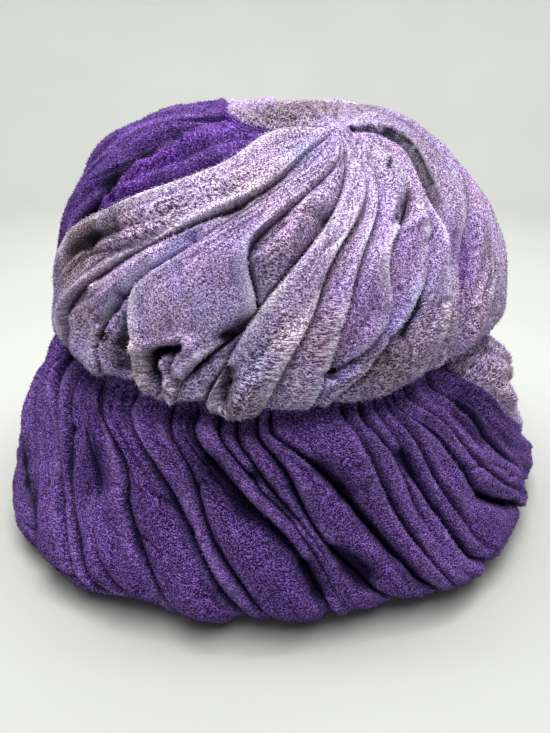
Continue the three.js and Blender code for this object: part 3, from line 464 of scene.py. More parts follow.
def drape_grid(rows, knots, depth_knots, base, shares, ref_share, fade, strokes, sink, scale, roll, hang_from=None, tones=(), gathers=0.0, shade_from=1.8, combed=0.0, seed=0):
    """Outer points, inner points and shading values on a grid of shares x columns."""
    rng = np.random.default_rng(SEED + seed)
    angles = along(knots, [r[0] for r in rows], shares)
    depths = scale * along(depth_knots, [r[1] for r in rows], shares)
    leans = along((0.25, 0.75), [r[2] for r in rows], shares)
    ref = along(knots, [r[0] for r in rows], np.array([ref_share]))[:, 0]
    index, us, place = [], [], []
    walked = 0.0
    for i in range(len(rows) - 1):
        p, q = (base(np.array([a]), np.array([ref_share]))[0][0] for a in (ref[i], ref[i + 1]))
        wide = np.linalg.norm(q - p)
        n = max(7, int(round(wide / rows[i][6])))
        k = np.arange(n + (i == len(rows) - 2)) / n
        u = (1 - GRADE) * k + GRADE * (0.5 - 0.5 * np.cos(np.pi * k))
        index += [i] * len(u)
        us += list(u)
        place += list(walked + u * wide)
        walked += wide
    index, us, place = np.array(index), np.array(us)[None], np.array(place)[None]
    share = shares[:, None]
    a, b = angles[index].T, angles[index + 1].T
    pa, pb = base(a, share + 0 * a)[0], base(b, share + 0 * b)[0]
    width = np.maximum(np.linalg.norm(pb - pa, axis=-1), 0.05)
    lift = fade(share)
    ends = base(angles.T, share + 0 * angles.T)[0]
    folds = np.maximum(np.linalg.norm(np.diff(ends, axis=1), axis=-1), 0.05)
    wider = np.maximum(np.pad(folds, ((0, 0), (1, 0)), mode="edge"), np.pad(folds, ((0, 0), (0, 1)), mode="edge"))
    narrow = np.minimum(1, np.minimum(np.pad(folds, ((0, 0), (1, 0)), mode="edge"), np.pad(folds, ((0, 0), (0, 1)), mode="edge")) / 10)
    depths = np.minimum(depths, 0.6 * wider.T)

    def column(values):
        return np.array([r[values] for r in rows])[index][None]

    reach_l, reach_r = column(3), np.array([r[3] for r in rows])[index + 1][None]
    lean_l, lean_r = leans[index].T, leans[index + 1].T
    deep_l, deep_r = depths[index].T, depths[index + 1].T
    over_l, over_r = (1 - lean_l) / 2, (1 + lean_r) / 2
    left, right = us * width, (1 - us) * width
    small = np.minimum(1, width / 16)
    side_l = -0.5 * OVERLAP * lean_l * small * np.minimum(1, deep_l / 3)
    side_r = 0.5 * OVERLAP * lean_r * small * np.minimum(1, deep_r / 3)
    tilt = side_l + (side_r - side_l) * step(0, 1, us)
    lip = np.minimum(roll, 0.4 * width)

    def profile(x, over, reach):
        edge = 1 - np.sqrt(np.maximum(0, 1 - (1 - np.minimum(x / lip, 1)) ** 2))
        under = np.exp(-((x / np.minimum(reach, 0.45 * width)) ** 1.15))
        return over * edge + (1 - over) * under

    cut_l, cut_r = profile(left, over_l, reach_l), profile(right, over_r, reach_r)
    dip = (deep_l + side_l) * cut_l * (1 - us) ** 0.8 + (deep_r + side_r) * cut_r * us ** 0.8
    puff = column(4) * small * np.maximum(0, 1 - np.abs(2 * us - 1) ** 2.2) ** 0.6

    def hook(x):
        return np.sin(np.pi * np.minimum(x / (1.7 * lip), 1))

    slide = OVERHANG * small * (over_r * np.minimum(1, deep_r / 4) * hook(right) - over_l * np.minimum(1, deep_l / 4) * hook(left))
    slide = np.where((index[None] == 0) & (us < 0.5) & (over_l < 0.6), 0, slide)
    angle = a + us * (b - a) + lift * slide * (b - a) / width
    walk = share * CROWN_SLOPE
    calm = lift * (narrow[:, index] * (1 - us) + narrow[:, index + 1] * us)
    noise = (0.6 * waves(rng, place, walk, 10, (22, 45), (40, 110))
             + 0.3 * waves(rng, place, walk, 14, (8, 15), (30, 80))
             + 0.12 * waves(rng, place, walk, 18, (4, 7), (20, 60)))
    lines = waves(rng, place, walk, 9, (14, 30), (50, 130))
    where = step(-0.4, 0.8, waves(rng, place, walk, 9, (30, 60), (40, 80)))
    wrinkle = calm * where * np.exp(-((lines / 0.2) ** 2))
    noise = noise - 1.5 * where * np.exp(-((lines / 0.2) ** 2))
    if gathers:
        noise = noise + gathers * waves(rng, place, walk, 12, (5, 9), (90, 200)) * (1 - step(0.12, 0.55, share))
    edge_l = (0.2 + 0.8 * over_l) * np.exp(-(((left - lip) / 1.3) ** 2))
    edge_r = (0.2 + 0.8 * over_r) * np.exp(-(((right - lip) / 1.3) ** 2))
    ridge = 0.8 * small * (edge_l * np.minimum(1, deep_l / 4) + edge_r * np.minimum(1, deep_r / 4))
    spot, normal = base(angle, share + 0 * angle)
    flat_spot, _ = base(a + us * (b - a), share + 0 * angle)
    local = STROKE * strokes_height(flat_spot, base, strokes)
    height = lift * (puff + ridge + tilt - dip + local - sink) + calm * noise
    outer = spot + normal * height[..., None]
    if hang_from is not None:
        lobe = np.sin(np.pi * us) ** 0.8
        outer[..., 2] -= column(5) * lobe * step(hang_from, 1.0, share)
    low = height.copy()
    for shift in range(1, 4):
        low[:, shift:] = np.minimum(low[:, shift:], height[:, :-shift])
        low[:, :-shift] = np.minimum(low[:, :-shift], height[:, shift:])
    pick = np.unique(np.round(np.linspace(0, len(shares) - 1, INNER_ROWS)).astype(int))
    band = np.stack([low[max(0, r - 5): r + 6].min(0) for r in pick])
    inner_spot, inner_normal = base((a + us * (b - a))[pick], (share + 0 * a)[pick])
    inner = inner_spot + inner_normal * (band - WALL)[..., None]
    if hang_from is not None:
        inner[..., 2] -= (column(5) * np.sin(np.pi * us) ** 0.8 * step(hang_from, 1.0, share))[pick]
    # painted highlight along the rolled fold edges
    rim = lift * small ** 0.5 * (edge_l * np.minimum(1, deep_l / 4) + edge_r * np.minimum(1, deep_r / 4))
    # painted crease shade: darker where a crease sinks deeper than shade_from, in dents and along wrinkles
    shade = np.clip((lift * (1.4 * np.maximum(0, dip - shade_from) - np.minimum(local, 0)) + 1.6 * wrinkle) / 6.0, 0, 1)
    outer, inner = settle(outer), settle(inner)
    outer[..., 2] = np.maximum(outer[..., 2], 0.0)
    values = {"dip": shade, "rim": np.clip(rim, 0, 1)}
    for key in sorted({row[6] for row in tones}):
        values[key] = np.clip(strokes_height(flat_spot, base, [row[:6] for row in tones if row[6] == key]), 0, 1)
    values["comb"] = np.clip(values.get("comb", 0) + combed * (1 if gathers else step(0.6, 0.95, share)) + 0 * dip, 0, 1)
    middle = int(np.argmin(np.abs((a + us * (b - a))[len(shares) // 2] + 95)))
    across = np.pad(np.cumsum(np.linalg.norm(np.diff(flat_spot, axis=1), axis=-1), axis=1), ((0, 0), (1, 0)))
    values["across"] = MM * (across - across[:, middle:middle + 1])
    values["along"] = MM * (np.pad(np.cumsum(np.linalg.norm(np.diff(flat_spot[:, middle], axis=0), axis=-1)), (1, 0))[:, None] + 0 * dip)
    return outer, inner, pick, values, flat_spot


def zipper(a, b, pa, pb):
    """Triangles between two lines of points with rising places pa and pb."""
    faces, i, j = [], 0, 0
    while i < len(a) - 1 or j < len(b) - 1:
        if j == len(b) - 1 or (i < len(a) - 1 and pa[i + 1] <= pb[j + 1]):
            faces.append((a[i], b[j], a[i + 1]))
            i += 1
        else:
            faces.append((a[i], b[j], b[j + 1]))
            j += 1
    return faces


def drape_mesh(name, grid, shares, apex=None):
    outer, inner, pick, values, _ = grid
    rows, cols = outer.shape[:2]
    deep = inner.shape[0]
    count = rows * cols
    points = np.concatenate([outer.reshape(-1, 3), inner.reshape(-1, 3)])
    o = np.arange(count).reshape(rows, cols)
    n = count + np.arange(deep * cols).reshape(deep, cols)

    def quads(g, flip):
        q = np.stack([g[:-1, :-1], g[1:, :-1], g[1:, 1:], g[:-1, 1:]], -1).reshape(-1, 4)
        return q[:, ::-1] if flip else q

    faces = [tuple(q) for q in np.concatenate([quads(o, False), quads(n, True)]).tolist()]
    for c in range(cols - 1):
        faces.append((o[-1, c], n[-1, c], n[-1, c + 1], o[-1, c + 1]))
        if apex is None:
            faces.append((o[0, c], o[0, c + 1], n[0, c + 1], n[0, c]))
    place = np.arange(rows)
    faces += zipper(o[:, 0].tolist(), n[:, 0].tolist(), place, pick)
    faces += [f[::-1] for f in zipper(o[:, -1].tolist(), n[:, -1].tolist(), place, pick)]
    extra = []
    if apex is not None:
        top, under = len(points), len(points) + 1
        extra = [apex[0], apex[1]]
        for c in range(cols - 1):
            faces.append((top, o[0, c], o[0, c + 1]))
            faces.append((under, n[0, c + 1], n[0, c]))
        faces += [(top, under, n[0, 0], o[0, 0]), (top, o[0, -1], n[0, -1], under)]
        points = np.concatenate([points, np.array(extra)])
    mesh = bpy.data.meshes.new(name)
    mesh.from_pydata((points * MM).tolist(), [], [tuple(int(v) for v in f) for f in faces])
    mesh.validate()
    for key, value in values.items():
        # the inner face gets half the painted crease shade and none of the tones
        inner_value = value[pick].reshape(-1)
        if key not in ("across", "along", "comb"):
            inner_value = inner_value * 0 + (0.5 if key == "dip" else 0.0)
        flat = np.concatenate([value.reshape(-1), inner_value, np.full(len(extra), 0.0)])
        layer = mesh.attributes.new(key, "FLOAT", "POINT")
        layer.data.foreach_set("value", flat.astype(np.float32))
    mesh.polygons.foreach_set("use_smooth", np.ones(len(mesh.polygons), bool))
    mesh.update()
    obj = bpy.data.objects.new(name, mesh)
    bpy.context.scene.collection.objects.link(obj)
    return obj


def crown_fade(share):
    return step(0.0, 0.06, share) * (1 - 0.7 * step(0.93, 1.02, share))


def brim_fade(share):
    return step(-0.07, 0.03, share) * (1 - step(0.95, 1.07, share))


def trimmed(rows, knots, base, gap):
    """The first and last creases moved in by half the seam gap."""
    def moved(row, way):
        angles = []
        for a, s in zip(row[0], knots):
            p, q = (base(np.array([x]), np.array([max(s, 0.1)]))[0][0] for x in (a, a + 1.0))
            angles.append(a + way * min(gap / max(np.linalg.norm(q - p), 0.05), 3.0))
        return (tuple(angles),) + tuple(row[1:])
    return [moved(rows[0], 1)] + list(rows[1:-1]) + [moved(rows[-1], -1)]


# ---- the four drapes -----------------------------------------------------------------------
crown_shares = np.linspace(CROWN_TOP, CROWN_END, int(round((CROWN_END - CROWN_TOP) * CROWN_SLOPE / CROWN_ROW_STEP)))
purple_shares = np.linspace(PURPLE_TOP, CROWN_END, int(round((CROWN_END - PURPLE_TOP) * CROWN_SLOPE / CROWN_ROW_STEP)))
brim_shares = np.concatenate([
    np.linspace(-0.14, -0.02, 6)[:-1], np.linspace(-0.02, 1.06, 112)[:-1], np.linspace(1.06, 1.35, 16),
])
back_shares = np.concatenate([
    np.linspace(-0.14, -0.02, 6)[:-1], np.linspace(-0.02, 1.06, 76)[:-1], np.linspace(1.06, 1.35, 14),
])

lilac_rows = list(CROWN_FOLDS) + between(CROWN_FOLDS[-1], REAR_EDGE, BACK_FOLDS, 4.6, COARSE) + [REAR_EDGE]
pleats = [tuple(r[:4]) + (r[4], 0.0, BRIM_PITCH) for r in BRIM_PLEATS]
left_seam = (tuple(a + 360 for a in pleats[0][0]),) + pleats[0][1:]
right_seam = pleats[-1][:6] + (BRIM_BACK_PITCH,)
back_rows = [right_seam] + between(right_seam, left_seam, BACK_PLEATS, 4.4, BRIM_BACK_PITCH) + [left_seam]

crown_lilac_grid = drape_grid(trimmed(lilac_rows, CROWN_KNOTS, crown_base, 0.2), CROWN_KNOTS, CROWN_DEPTH_KNOTS, crown_base,
                              crown_shares, 0.75, crown_fade, CROWN_STROKES, CROWN_SINK, CROWN_DEPTH, CROWN_LIP, hang_from=0.84, tones=CROWN_TONES, combed=0.8, seed=1)
crown_purple_grid = drape_grid(trimmed(list(PURPLE_FOLDS), CROWN_KNOTS, crown_base, 0.2), CROWN_KNOTS, CROWN_DEPTH_KNOTS, crown_base,
                               purple_shares, 0.75, crown_fade, PURPLE_STROKES, CROWN_SINK, CROWN_DEPTH, CROWN_LIP, hang_from=0.84, tones=PURPLE_TONES, combed=0.5, seed=2)
brim_purple_grid = drape_grid(trimmed(pleats, BRIM_KNOTS, brim_base, 0.2), BRIM_KNOTS, BRIM_DEPTH_KNOTS, brim_base,
                              brim_shares, 0.5, brim_fade, BRIM_STROKES, BRIM_SINK, BRIM_DEPTH, BRIM_LIP, tones=BRIM_TONES, gathers=0.9, shade_from=0.9, combed=0.85, seed=3)
brim_lilac_grid = drape_grid(trimmed(back_rows, BRIM_KNOTS, brim_base, 0.2), BRIM_KNOTS, BRIM_DEPTH_KNOTS, brim_base,
                             back_shares, 0.5, brim_fade, BACK_BRIM_STROKES, BRIM_SINK, BRIM_DEPTH, BRIM_LIP, tones=BACK_BRIM_TONES, gathers=0.9, shade_from=0.8, combed=0.7, seed=4)

pole, pole_normal = crown_base(np.array([0.0]), np.array([0.0]))
crown_apex = [settle(pole + pole_normal * h)[0] for h in (0.0, -WALL)]

crown_lilac = drape_mesh("crown_lilac_velvet", crown_lilac_grid, crown_shares, crown_apex)
crown_purple = drape_mesh("crown_purple_velvet", crown_purple_grid, purple_shares)
brim_purple = drape_mesh("brim_purple_velvet", brim_purple_grid, brim_shares)
brim_lilac = drape_mesh("brim_lilac_velvet", brim_lilac_grid, back_shares)

# ---- pile: small leaning tufts standing on the cloth ------------------------------------------
# tufts: how many, tall/long: how far a tuft rises and leans, wide: half width of its foot,
# swirl: spread of the leaning direction (radians) about the given one, 0 = down the fold, 90 = across it


def pile_mesh(name, grid, columns, rows, tufts, tall, long, wide, way, swirl, seed):
    outer, _, _, values, _ = grid
    rng = np.random.default_rng(SEED + seed)
    r0, r1 = rows
    c0, c1 = columns
    p = outer[r0:r1, c0:c1]
    down, across = np.gradient(p, axis=0), np.gradient(p, axis=1)
    normal = np.cross(down, across)
    area = np.linalg.norm(normal, axis=-1)[:-1, :-1]
    normal /= np.maximum(np.linalg.norm(normal, axis=-1, keepdims=True), 1e-9)
    total = np.cumsum(area.ravel())
    at = (np.arange(tufts) + rng.uniform(0, 1, tufts)) / tufts * total[-1]
    cell = np.minimum(np.searchsorted(total, at), len(total) - 1)
    r, c = np.divmod(cell, p.shape[1] - 1)
    fr, fc = rng.uniform(0, 1, (2, tufts))

    def sample(grid_values):
        extra = (slice(None),) + (None,) * (grid_values.ndim - 2)
        a, b = fr[extra], fc[extra]
        return ((grid_values[r, c] * (1 - b) + grid_values[r, c + 1] * b) * (1 - a)
                + (grid_values[r + 1, c] * (1 - b) + grid_values[r + 1, c + 1] * b) * a)

    def unit(v):
        return v / np.maximum(np.linalg.norm(v, axis=-1, keepdims=True), 1e-9)

    foot, n = sample(p), unit(sample(normal))
    d = sample(down)
    d = unit(d - n * (d * n).sum(-1, keepdims=True))
    e = np.cross(n, d)
    comb = sample(values["comb"][r0:r1, c0:c1])
    drift = 0.75 * waves(rng, foot[:, 0] + foot[:, 2] * 0.4, foot[:, 1] - foot[:, 2] * 0.7, 14, (9, 26), (9, 26)) + 0.45 * rng.standard_normal(tufts)
    turn = math.radians(way) + swirl * drift if way else (1 - comb) * swirl * drift + comb * (math.radians(75) + 0.5 * drift)
    lean = d * np.cos(turn)[:, None] + e * np.sin(turn)[:, None]
    side = np.cross(n, lean)
    tone = np.clip(0.5 + 0.28 * rng.standard_normal(tufts), 0, 1)
    size = rng.uniform(0.75, 1.25, (tufts, 1)) * (1 if way else 1 + 0.15 * comb[:, None])
    tip = foot + size * (n * tall * (0.6 + 0.8 * tone[:, None]) + lean * long)
    foot = foot - n * 0.25
    corners = np.stack([foot + side * wide, foot - side * wide, foot - lean * wide * 0.9 + n * 0.15, tip], 1)
    corners[..., 2] = np.maximum(corners[..., 2], 0.0)
    k = 4 * np.arange(tufts)[:, None]
    faces = np.concatenate([k + np.array(f) for f in ((0, 1, 3), (1, 2, 3), (2, 0, 3), (0, 2, 1))], 1).reshape(-1, 3)
    mesh = bpy.data.meshes.new(name)
    mesh.vertices.add(4 * tufts)
    mesh.vertices.foreach_set("co", (corners.reshape(-1) * MM).astype(np.float32))
    mesh.loops.add(3 * len(faces))
    mesh.loops.foreach_set("vertex_index", faces.reshape(-1).astype(np.int32))
    mesh.polygons.add(len(faces))
    mesh.polygons.foreach_set("loop_start", (3 * np.arange(len(faces))).astype(np.int32))
    mesh.update(calc_edges=True)
    shades = {key: sample(value[r0:r1, c0:c1]) for key, value in values.items()}
    shades["tone"] = tone
    for key, value in shades.items():
        layer = mesh.attributes.new(key, "FLOAT", "POINT")
        layer.data.foreach_set("value", np.repeat(value, 4).astype(np.float32))
    # tip: 0.3 at the foot and 1 at the point, used for the painted shade at the tuft roots
    layer = mesh.attributes.new("tip", "FLOAT", "POINT")
    layer.data.foreach_set("value", np.tile([0.3, 0.3, 0.3, 1.0], tufts).astype(np.float32))
    obj = bpy.data.objects.new(name, mesh)
    bpy.context.scene.collection.objects.link(obj)
    return obj


def front_columns(grid, first, last):
    """Columns of a drape whose lower end lies between two angles."""
    p = grid[0][int(0.75 * grid[0].shape[0])]
    turn = np.degrees(np.unwrap(np.arctan2(p[:, 1], p[:, 0])))
    inside = np.nonzero((turn >= first) & (turn <= last))[0]
    return inside[0], inside[-1] + 1


lilac_cols = crown_lilac_grid[0].shape[1]
lilac_split = front_columns(crown_lilac_grid, -400, 5)[1]
crown_rows = (0, crown_lilac_grid[0].shape[0])
brim_rows = (int(np.searchsorted(brim_shares, -0.01)), int(np.searchsorted(brim_shares, 1.07)))
back_rows_shown = (int(np.searchsorted(back_shares, -0.01)), int(np.searchsorted(back_shares, 1.07)))
TUFTS = (
    ("crown_lilac_pile_front", crown_lilac_grid, (0, lilac_split), crown_rows, 46000, 0.55, 1.0, 0.28, 0, 1.5, 21),
    ("crown_lilac_pile_back", crown_lilac_grid, (lilac_split - 1, lilac_cols), crown_rows, 17000, 0.9, 1.2, 0.5, 0, 1.5, 22),
    ("crown_purple_pile", crown_purple_grid, (0, crown_purple_grid[0].shape[1]), (0, crown_purple_grid[0].shape[0]), 20000, 0.65, 1.1, 0.32, 0, 1.5, 23),
    ("brim_purple_pile", brim_purple_grid, (0, brim_purple_grid[0].shape[1]), brim_rows, 45000, 0.5, 1.1, 0.28, 90, 0.6, 24),
    ("brim_lilac_pile", brim_lilac_grid, (0, brim_lilac_grid[0].shape[1]), back_rows_shown, 17000, 0.8, 1.4, 0.5, 90, 0.7, 25),
)
pile_front, pile_back, pile_purple, pile_brim, pile_brim_back = (pile_mesh(*row) for row in TUFTS)

# ---- velvet ------------------------------------------------------------------------------------


class Graph:
    """Short names for building a node material."""

    def __init__(self, name):
        self.material = bpy.data.materials.new(name)
        self.material.use_nodes = True
        self.tree = self.material.node_tree
        self.tree.nodes.clear()

    def add(self, kind, links=(), **values):
        node = self.tree.nodes.new(kind)
        for key, value in values.items():
            setattr(node, key, value)
        for socket, source in dict(links).items():
            self.plug(node, socket, source)
        return node

    def plug(self, node, socket, source):
        target = node.inputs[socket]
        if isinstance(source, bpy.types.NodeSocket):
            self.tree.links.new(source, target)
        else:
            target.default_value = source

    def math(self, operation, a, b=0.0, clamp=False):
        return self.add("ShaderNodeMath", {0: a, 1: b}, operation=operation, use_clamp=clamp).outputs[0]

    def mix(self, factor, a, b, blend="MIX"):
        node = self.add("ShaderNodeMix", data_type="RGBA", blend_type=blend)
        self.plug(node, 0, factor)
        self.plug(node, 6, a)
        self.plug(node, 7, b)
        return node.outputs[2]

    def noise(self, vector, scale, detail=2.0, rough=0.5, distortion=0.0):
        node = self.add("ShaderNodeTexNoise", {"Vector": vector, "Scale": scale, "Detail": detail, "Roughness": rough, "Distortion": distortion})
        return node.outputs["Fac"]

    def ramp(self, factor, stops):
        node = self.add("ShaderNodeValToRGB", {"Fac": factor})
        ramp = node.color_ramp
        while len(ramp.elements) < len(stops):
            ramp.elements.new(0.5)
        for element, (place, colour) in zip(ramp.elements, stops):
            element.position = place
            element.color = colour if len(colour) == 4 else (*colour, 1)
        return node.outputs["Color"]

    def fit(self, value, lo, hi, to_lo=0.0, to_hi=1.0):
        return self.add("ShaderNodeMapRange", {"Value": value, "From Min": lo, "From Max": hi, "To Min": to_lo, "To Max": to_hi}, clamp=True).outputs["Result"]

    def attribute(self, name):
        return self.add("ShaderNodeAttribute", attribute_type="GEOMETRY", attribute_name=name).outputs["Fac"]


def srgb(r, g, b):
    def one(v):
        v /= 255
        return v / 12.92 if v <= 0.04045 else ((v + 0.055) / 1.055) ** 2.4
    return (one(r), one(g), one(b), 1)


# colour multipliers: brown, blue and violet shift the hue; pale and the violet highlight are painted highlight; deep,
# the dimming tone and dark are painted shade
TONES = {"brown": (0.62, 0.55, 0.44, 1), "blue": (0.82, 0.92, 1.12, 1), "pale": (1.4, 1.45, 1.3, 1), "violet": (0.78, 0.64, 0.98, 1), "bright": (1.6, 1.3, 1.65, 1),
         "deep": (0.5, 0.42, 0.62, 1), "dusk": (0.74, 0.76, 0.71, 1), "dark": (0.04, 0.032, 0.055, 1)}


def velvet(name, dark, mid, light, hues, stretch, strand, grain, sheen_tint, sheen, crease, roots, edge):
    """Dark roots (painted shade) and light tips of the pile, slow changes of the dye, painted shade in creases and
    painted highlight on fold edges.
    """
    g = Graph(name)
    where = g.add("ShaderNodeTexCoord").outputs["Object"]
    lie = g.add("ShaderNodeCombineXYZ", {"X": g.math("MULTIPLY", g.attribute("across"), stretch), "Y": g.attribute("along")}).outputs[0]
    strands = g.noise(lie, 1450.0, 1.0, 0.5, 0.8)
    clumps = g.noise(where, 1500.0, 1.0, 0.5, 0.6)
    tips = g.noise(where, 2050.0, 0.0, 0.5, 0.3)
    worms = g.math("ADD", clumps, g.math("MULTIPLY", g.attribute("comb"), g.math("SUBTRACT", strands, clumps)))
    clump = g.math("ADD", tips, g.math("MULTIPLY", g.math("ADD", 0.5, g.math("MULTIPLY", g.attribute("comb"), strand)), g.math("SUBTRACT", worms, tips)))
    rough = g.math("ADD", g.math("ADD", 0.55, g.math("MULTIPLY", g.attribute("comb"), 0.55)), g.math("MULTIPLY", g.attribute("brown"), 0.45))
    clump = g.math("ADD", 0.5, g.math("MULTIPLY", g.math("MULTIPLY", rough, grain), g.math("SUBTRACT", clump, 0.5)))
    pile = g.fit(clump, 0.42, 0.58)
    # the ramp is the pile's speckle; scaling it by roots darkens the cloth between the tufts as painted shade under the
    # pile
    skin = g.ramp(g.math("MULTIPLY", pile, roots), [(0.0, dark), (0.5, mid), (1.0, light)])
    tip = g.attribute("tip")
    tuft = g.ramp(g.math("ADD", g.math("MULTIPLY", g.attribute("tone"), 0.35), g.math("MULTIPLY", pile, 0.65)), [(0.0, dark), (0.5, mid), (1.0, light)])
    # painted shade: each tuft darkens towards its root
    tuft = g.mix(g.fit(tip, 0.2, 1.0, 0.25, 0.0), tuft, dark)
    colour = g.mix(g.math("GREATER_THAN", tip, 0.05), skin, tuft)
    for scale, lo, hi, amount, tint in hues:
        patch = g.noise(where, scale, 2.0, 0.5, 0.4)
        colour = g.mix(g.math("MULTIPLY", g.fit(patch, lo, hi), amount), colour, tint, "MULTIPLY")
    # painted highlight: fold edges mixed towards the sheen colour, in patches, scaled by edge
    rim_highlight_patches = g.math("MULTIPLY", g.attribute("rim"), g.fit(g.noise(where, 70.0, 1.0), 0.38, 0.6, 0.4, 1.0))
    colour = g.mix(g.math("MULTIPLY", rim_highlight_patches, g.fit(pile, 0.0, 1.0, 0.5 * edge, edge)), colour, sheen_tint, "MIX")
    # tones multiply the colour: brown, blue and violet change the dye, the others are painted highlight and painted
    # shade
    for key, tint in TONES.items():
        amount = g.attribute(key)
        if key == "brown":
            amount = g.math("MULTIPLY", amount, g.fit(pile, 0.0, 1.0, 1.3, 0.5), True)
        colour = g.mix(amount, colour, tint, "MULTIPLY")
    # painted crease shade: creases multiplied towards the crease colour
    colour = g.mix(g.fit(g.attribute("dip"), 0.1, 0.62, 0.0, 0.97), colour, crease, "MULTIPLY")
    lit = g.math("MULTIPLY", g.fit(g.attribute("dip"), 0.1, 0.62, sheen, 0.15 * sheen), g.math("SUBTRACT", 1.0, g.math("MAXIMUM", g.attribute("dark"), g.math("MULTIPLY", g.attribute("deep"), 0.7))))
    bump = g.add("ShaderNodeBump", {"Strength": 0.9, "Distance": 0.0014, "Height": clump})
    shader = g.add("ShaderNodeBsdfPrincipled", {
        "Base Color": colour, "Roughness": 0.8, "Specular IOR Level": 0.2,
        "Sheen Weight": lit, "Sheen Roughness": 0.42, "Sheen Tint": sheen_tint, "Normal": bump.outputs["Normal"],
    })
    out = g.add("ShaderNodeOutputMaterial")
    g.tree.links.new(shader.outputs["BSDF"], out.inputs["Surface"])
    return g.material


# crease is the colour of the painted crease shade; sheen_tint also colours the painted highlight on fold edges; roots
# sets the painted shade under the pile and edge the strength of the painted edge highlight
lilac = velvet(
    "lilac_velvet", srgb(76, 56, 88), srgb(191, 161, 219), srgb(244, 232, 250),
    ((38.0, 0.45, 0.65, 0.6, (0.84, 0.92, 1.08, 1)), (30.0, 0.48, 0.68, 0.6, (1.08, 0.98, 0.88, 1)), (24.0, 0.5, 0.72, 0.6, (0.78, 0.68, 0.95, 1))),
    0.4, 0.35, 1.15, srgb(240, 228, 250), 0.3, srgb(54, 38, 66), 0.85, 1.0,
)
purple = velvet(
    "purple_velvet", srgb(16, 7, 42), srgb(68, 35, 115), srgb(172, 126, 228),
    ((34.0, 0.46, 0.66, 0.6, (1.12, 1.05, 1.08, 1)), (26.0, 0.5, 0.7, 0.6, (0.72, 0.74, 0.82, 1))),
    0.6, 0.0, 1.3, srgb(176, 144, 222), 0.3, srgb(96, 76, 128), 0.8, 0.5,
)
crown_violet = velvet(
    "crown_violet_velvet", srgb(30, 12, 60), srgb(76, 40, 120), srgb(160, 112, 214),
    ((34.0, 0.46, 0.66, 0.6, (1.15, 0.98, 1.15, 1)), (26.0, 0.5, 0.7, 0.7, (0.6, 0.62, 0.74, 1))),
    0.45, 0.0, 1.15, srgb(180, 136, 232), 0.3, srgb(40, 28, 64), 0.8, 0.6,
)

# ---- pieces on the frame ---------------------------------------------------------------------
PIECES = (
    (crown_lilac, lilac, "crown_lilac_drape", "lilac_velvet", (0.46, 0.17), 0.064, "gathered"),
    (crown_purple, crown_violet, "crown_purple_drape", "purple_velvet", (0.16, 0.17), 0.019, "gathered"),
    (brim_purple, purple, "brim_purple_drape", "purple_velvet", (0.40, 0.13), 0.048, "gathered"),
    (brim_lilac, lilac, "brim_lilac_drape", "lilac_velvet", (0.46, 0.14), 0.060, "gathered"),
)
PILE = (
    (pile_front, lilac, "lilac_velvet"), (pile_back, lilac, "lilac_velvet"), (pile_purple, crown_violet, "purple_velvet"),
    (pile_brim, purple, "purple_velvet"), (pile_brim_back, lilac, "lilac_velvet"),
)
for obj, finish, slot in PILE:
    obj.data.materials.append(finish)
    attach(obj, "root")
for obj, finish, node, slot, flat, area, held in PIECES:
    obj.data.materials.append(finish)
    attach(obj, "root")
    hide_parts(node)

# ---- floor, light and camera ---------------------------------------------------------------------


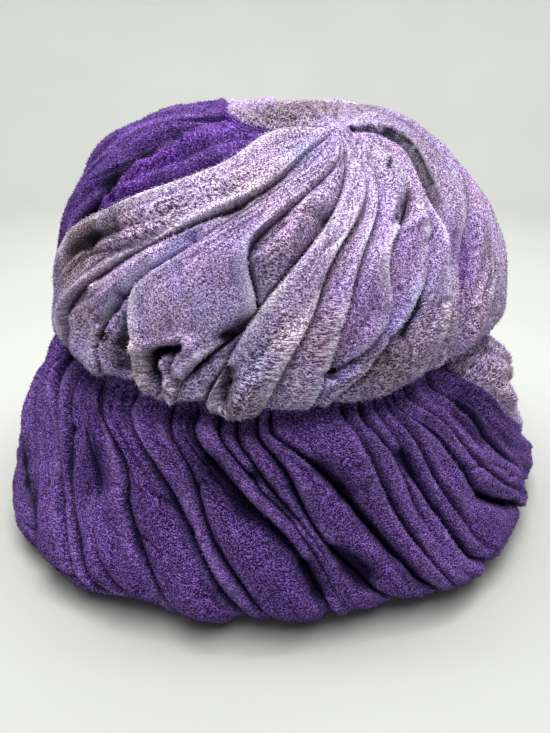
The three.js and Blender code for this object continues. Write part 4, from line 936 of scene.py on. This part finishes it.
def dish(name, flat, bend, top, turns=96):
    """A pale round floor that curves up into a wall all round."""
    profile = [(0.3 * flat, 0.0), (flat, 0.0)]
    profile += [(flat + bend * math.sin(u), bend - bend * math.cos(u)) for u in np.linspace(0.1, math.pi / 2, 14)] + [(flat + bend, top)]
    ring = [(math.cos(2 * math.pi * k / turns), math.sin(2 * math.pi * k / turns)) for k in range(turns)]
    points = [(c * r, s * r, z - 0.0002) for r, z in profile for c, s in ring] + [(0.0, 0.0, -0.0002)]
    faces = [(i * turns + k, (i + 1) * turns + k, (i + 1) * turns + (k + 1) % turns, i * turns + (k + 1) % turns)
             for i in range(len(profile) - 1) for k in range(turns)]
    faces += [(len(points) - 1, k, (k + 1) % turns) for k in range(turns)]
    mesh = bpy.data.meshes.new(name)
    mesh.from_pydata(points, [], faces)
    mesh.polygons.foreach_set("use_smooth", np.ones(len(mesh.polygons), bool))
    obj = bpy.data.objects.new(name, mesh)
    bpy.context.scene.collection.objects.link(obj)
    g = Graph(name + "_paint")
    where = g.add("ShaderNodeTexCoord").outputs["Object"]
    tone = g.noise(where, 6.0, 2.0)
    colour = g.ramp(tone, [(0.3, srgb(166, 168, 165)), (0.7, srgb(170, 172, 169))])
    shader = g.add("ShaderNodeBsdfPrincipled", {"Base Color": colour, "Roughness": 0.6, "Specular IOR Level": 0.2})
    out = g.add("ShaderNodeOutputMaterial")
    g.tree.links.new(shader.outputs["BSDF"], out.inputs["Surface"])
    mesh.materials.append(g.material)
    return obj


dish("studio_dish", 0.75, 0.4, 1.1)


def area_light(name, place, aim, size, watts, colour):
    data = bpy.data.lights.new(name, "AREA")
    data.shape = "RECTANGLE"
    data.size, data.size_y = size
    data.energy = watts
    data.color = colour
    obj = bpy.data.objects.new(name, data)
    obj.location = place
    obj.rotation_euler = (Vector(aim) - Vector(place)).to_track_quat("-Z", "Y").to_euler()
    bpy.context.scene.collection.objects.link(obj)
    return obj


area_light("top_panel", (0.0, 0.04, 0.72), (0.0, 0.0, 0.0), (0.7, 0.5), 7.2, (1.0, 0.985, 0.965))
area_light("front_fill", (0.03, -0.48, 1.06), (0.0, 0.0, 0.07), (0.9, 0.5), 7.7, (1.0, 0.99, 0.98))
area_light("back_wash", (0.0, 0.3, 1.3), (0.0, 1.15, 0.5), (1.4, 0.3), 24.0, (1.0, 0.99, 0.98))

world = bpy.data.worlds.new("studio_air")
world.use_nodes = True
world.node_tree.nodes["Background"].inputs["Color"].default_value = (0.97, 0.98, 1.0, 1)
world.node_tree.nodes["Background"].inputs["Strength"].default_value = 0.07
bpy.context.scene.world = world

CAMERA_AT = Vector((0.0005, -0.2816, 0.182))
CAMERA_DOWN = math.radians(25.5)
camera_data = bpy.data.cameras.new("photo_camera")
camera_data.sensor_fit = "AUTO"
camera_data.sensor_width = 36.0
camera_data.lens = 610 / 733 * 36.0
camera_data.clip_start = 0.01
camera = bpy.data.objects.new("photo_camera", camera_data)
ahead = Vector((0, math.cos(CAMERA_DOWN), -math.sin(CAMERA_DOWN)))
up = Vector((0, math.sin(CAMERA_DOWN), math.cos(CAMERA_DOWN)))
camera.matrix_world = Matrix.Translation(CAMERA_AT) @ Matrix((Vector((1, 0, 0)), up, -ahead)).transposed().to_4x4()
bpy.context.scene.collection.objects.link(camera)
bpy.context.scene.camera = camera

bpy.context.scene.view_settings.view_transform = "Standard"

bpy.context.view_layer.update()
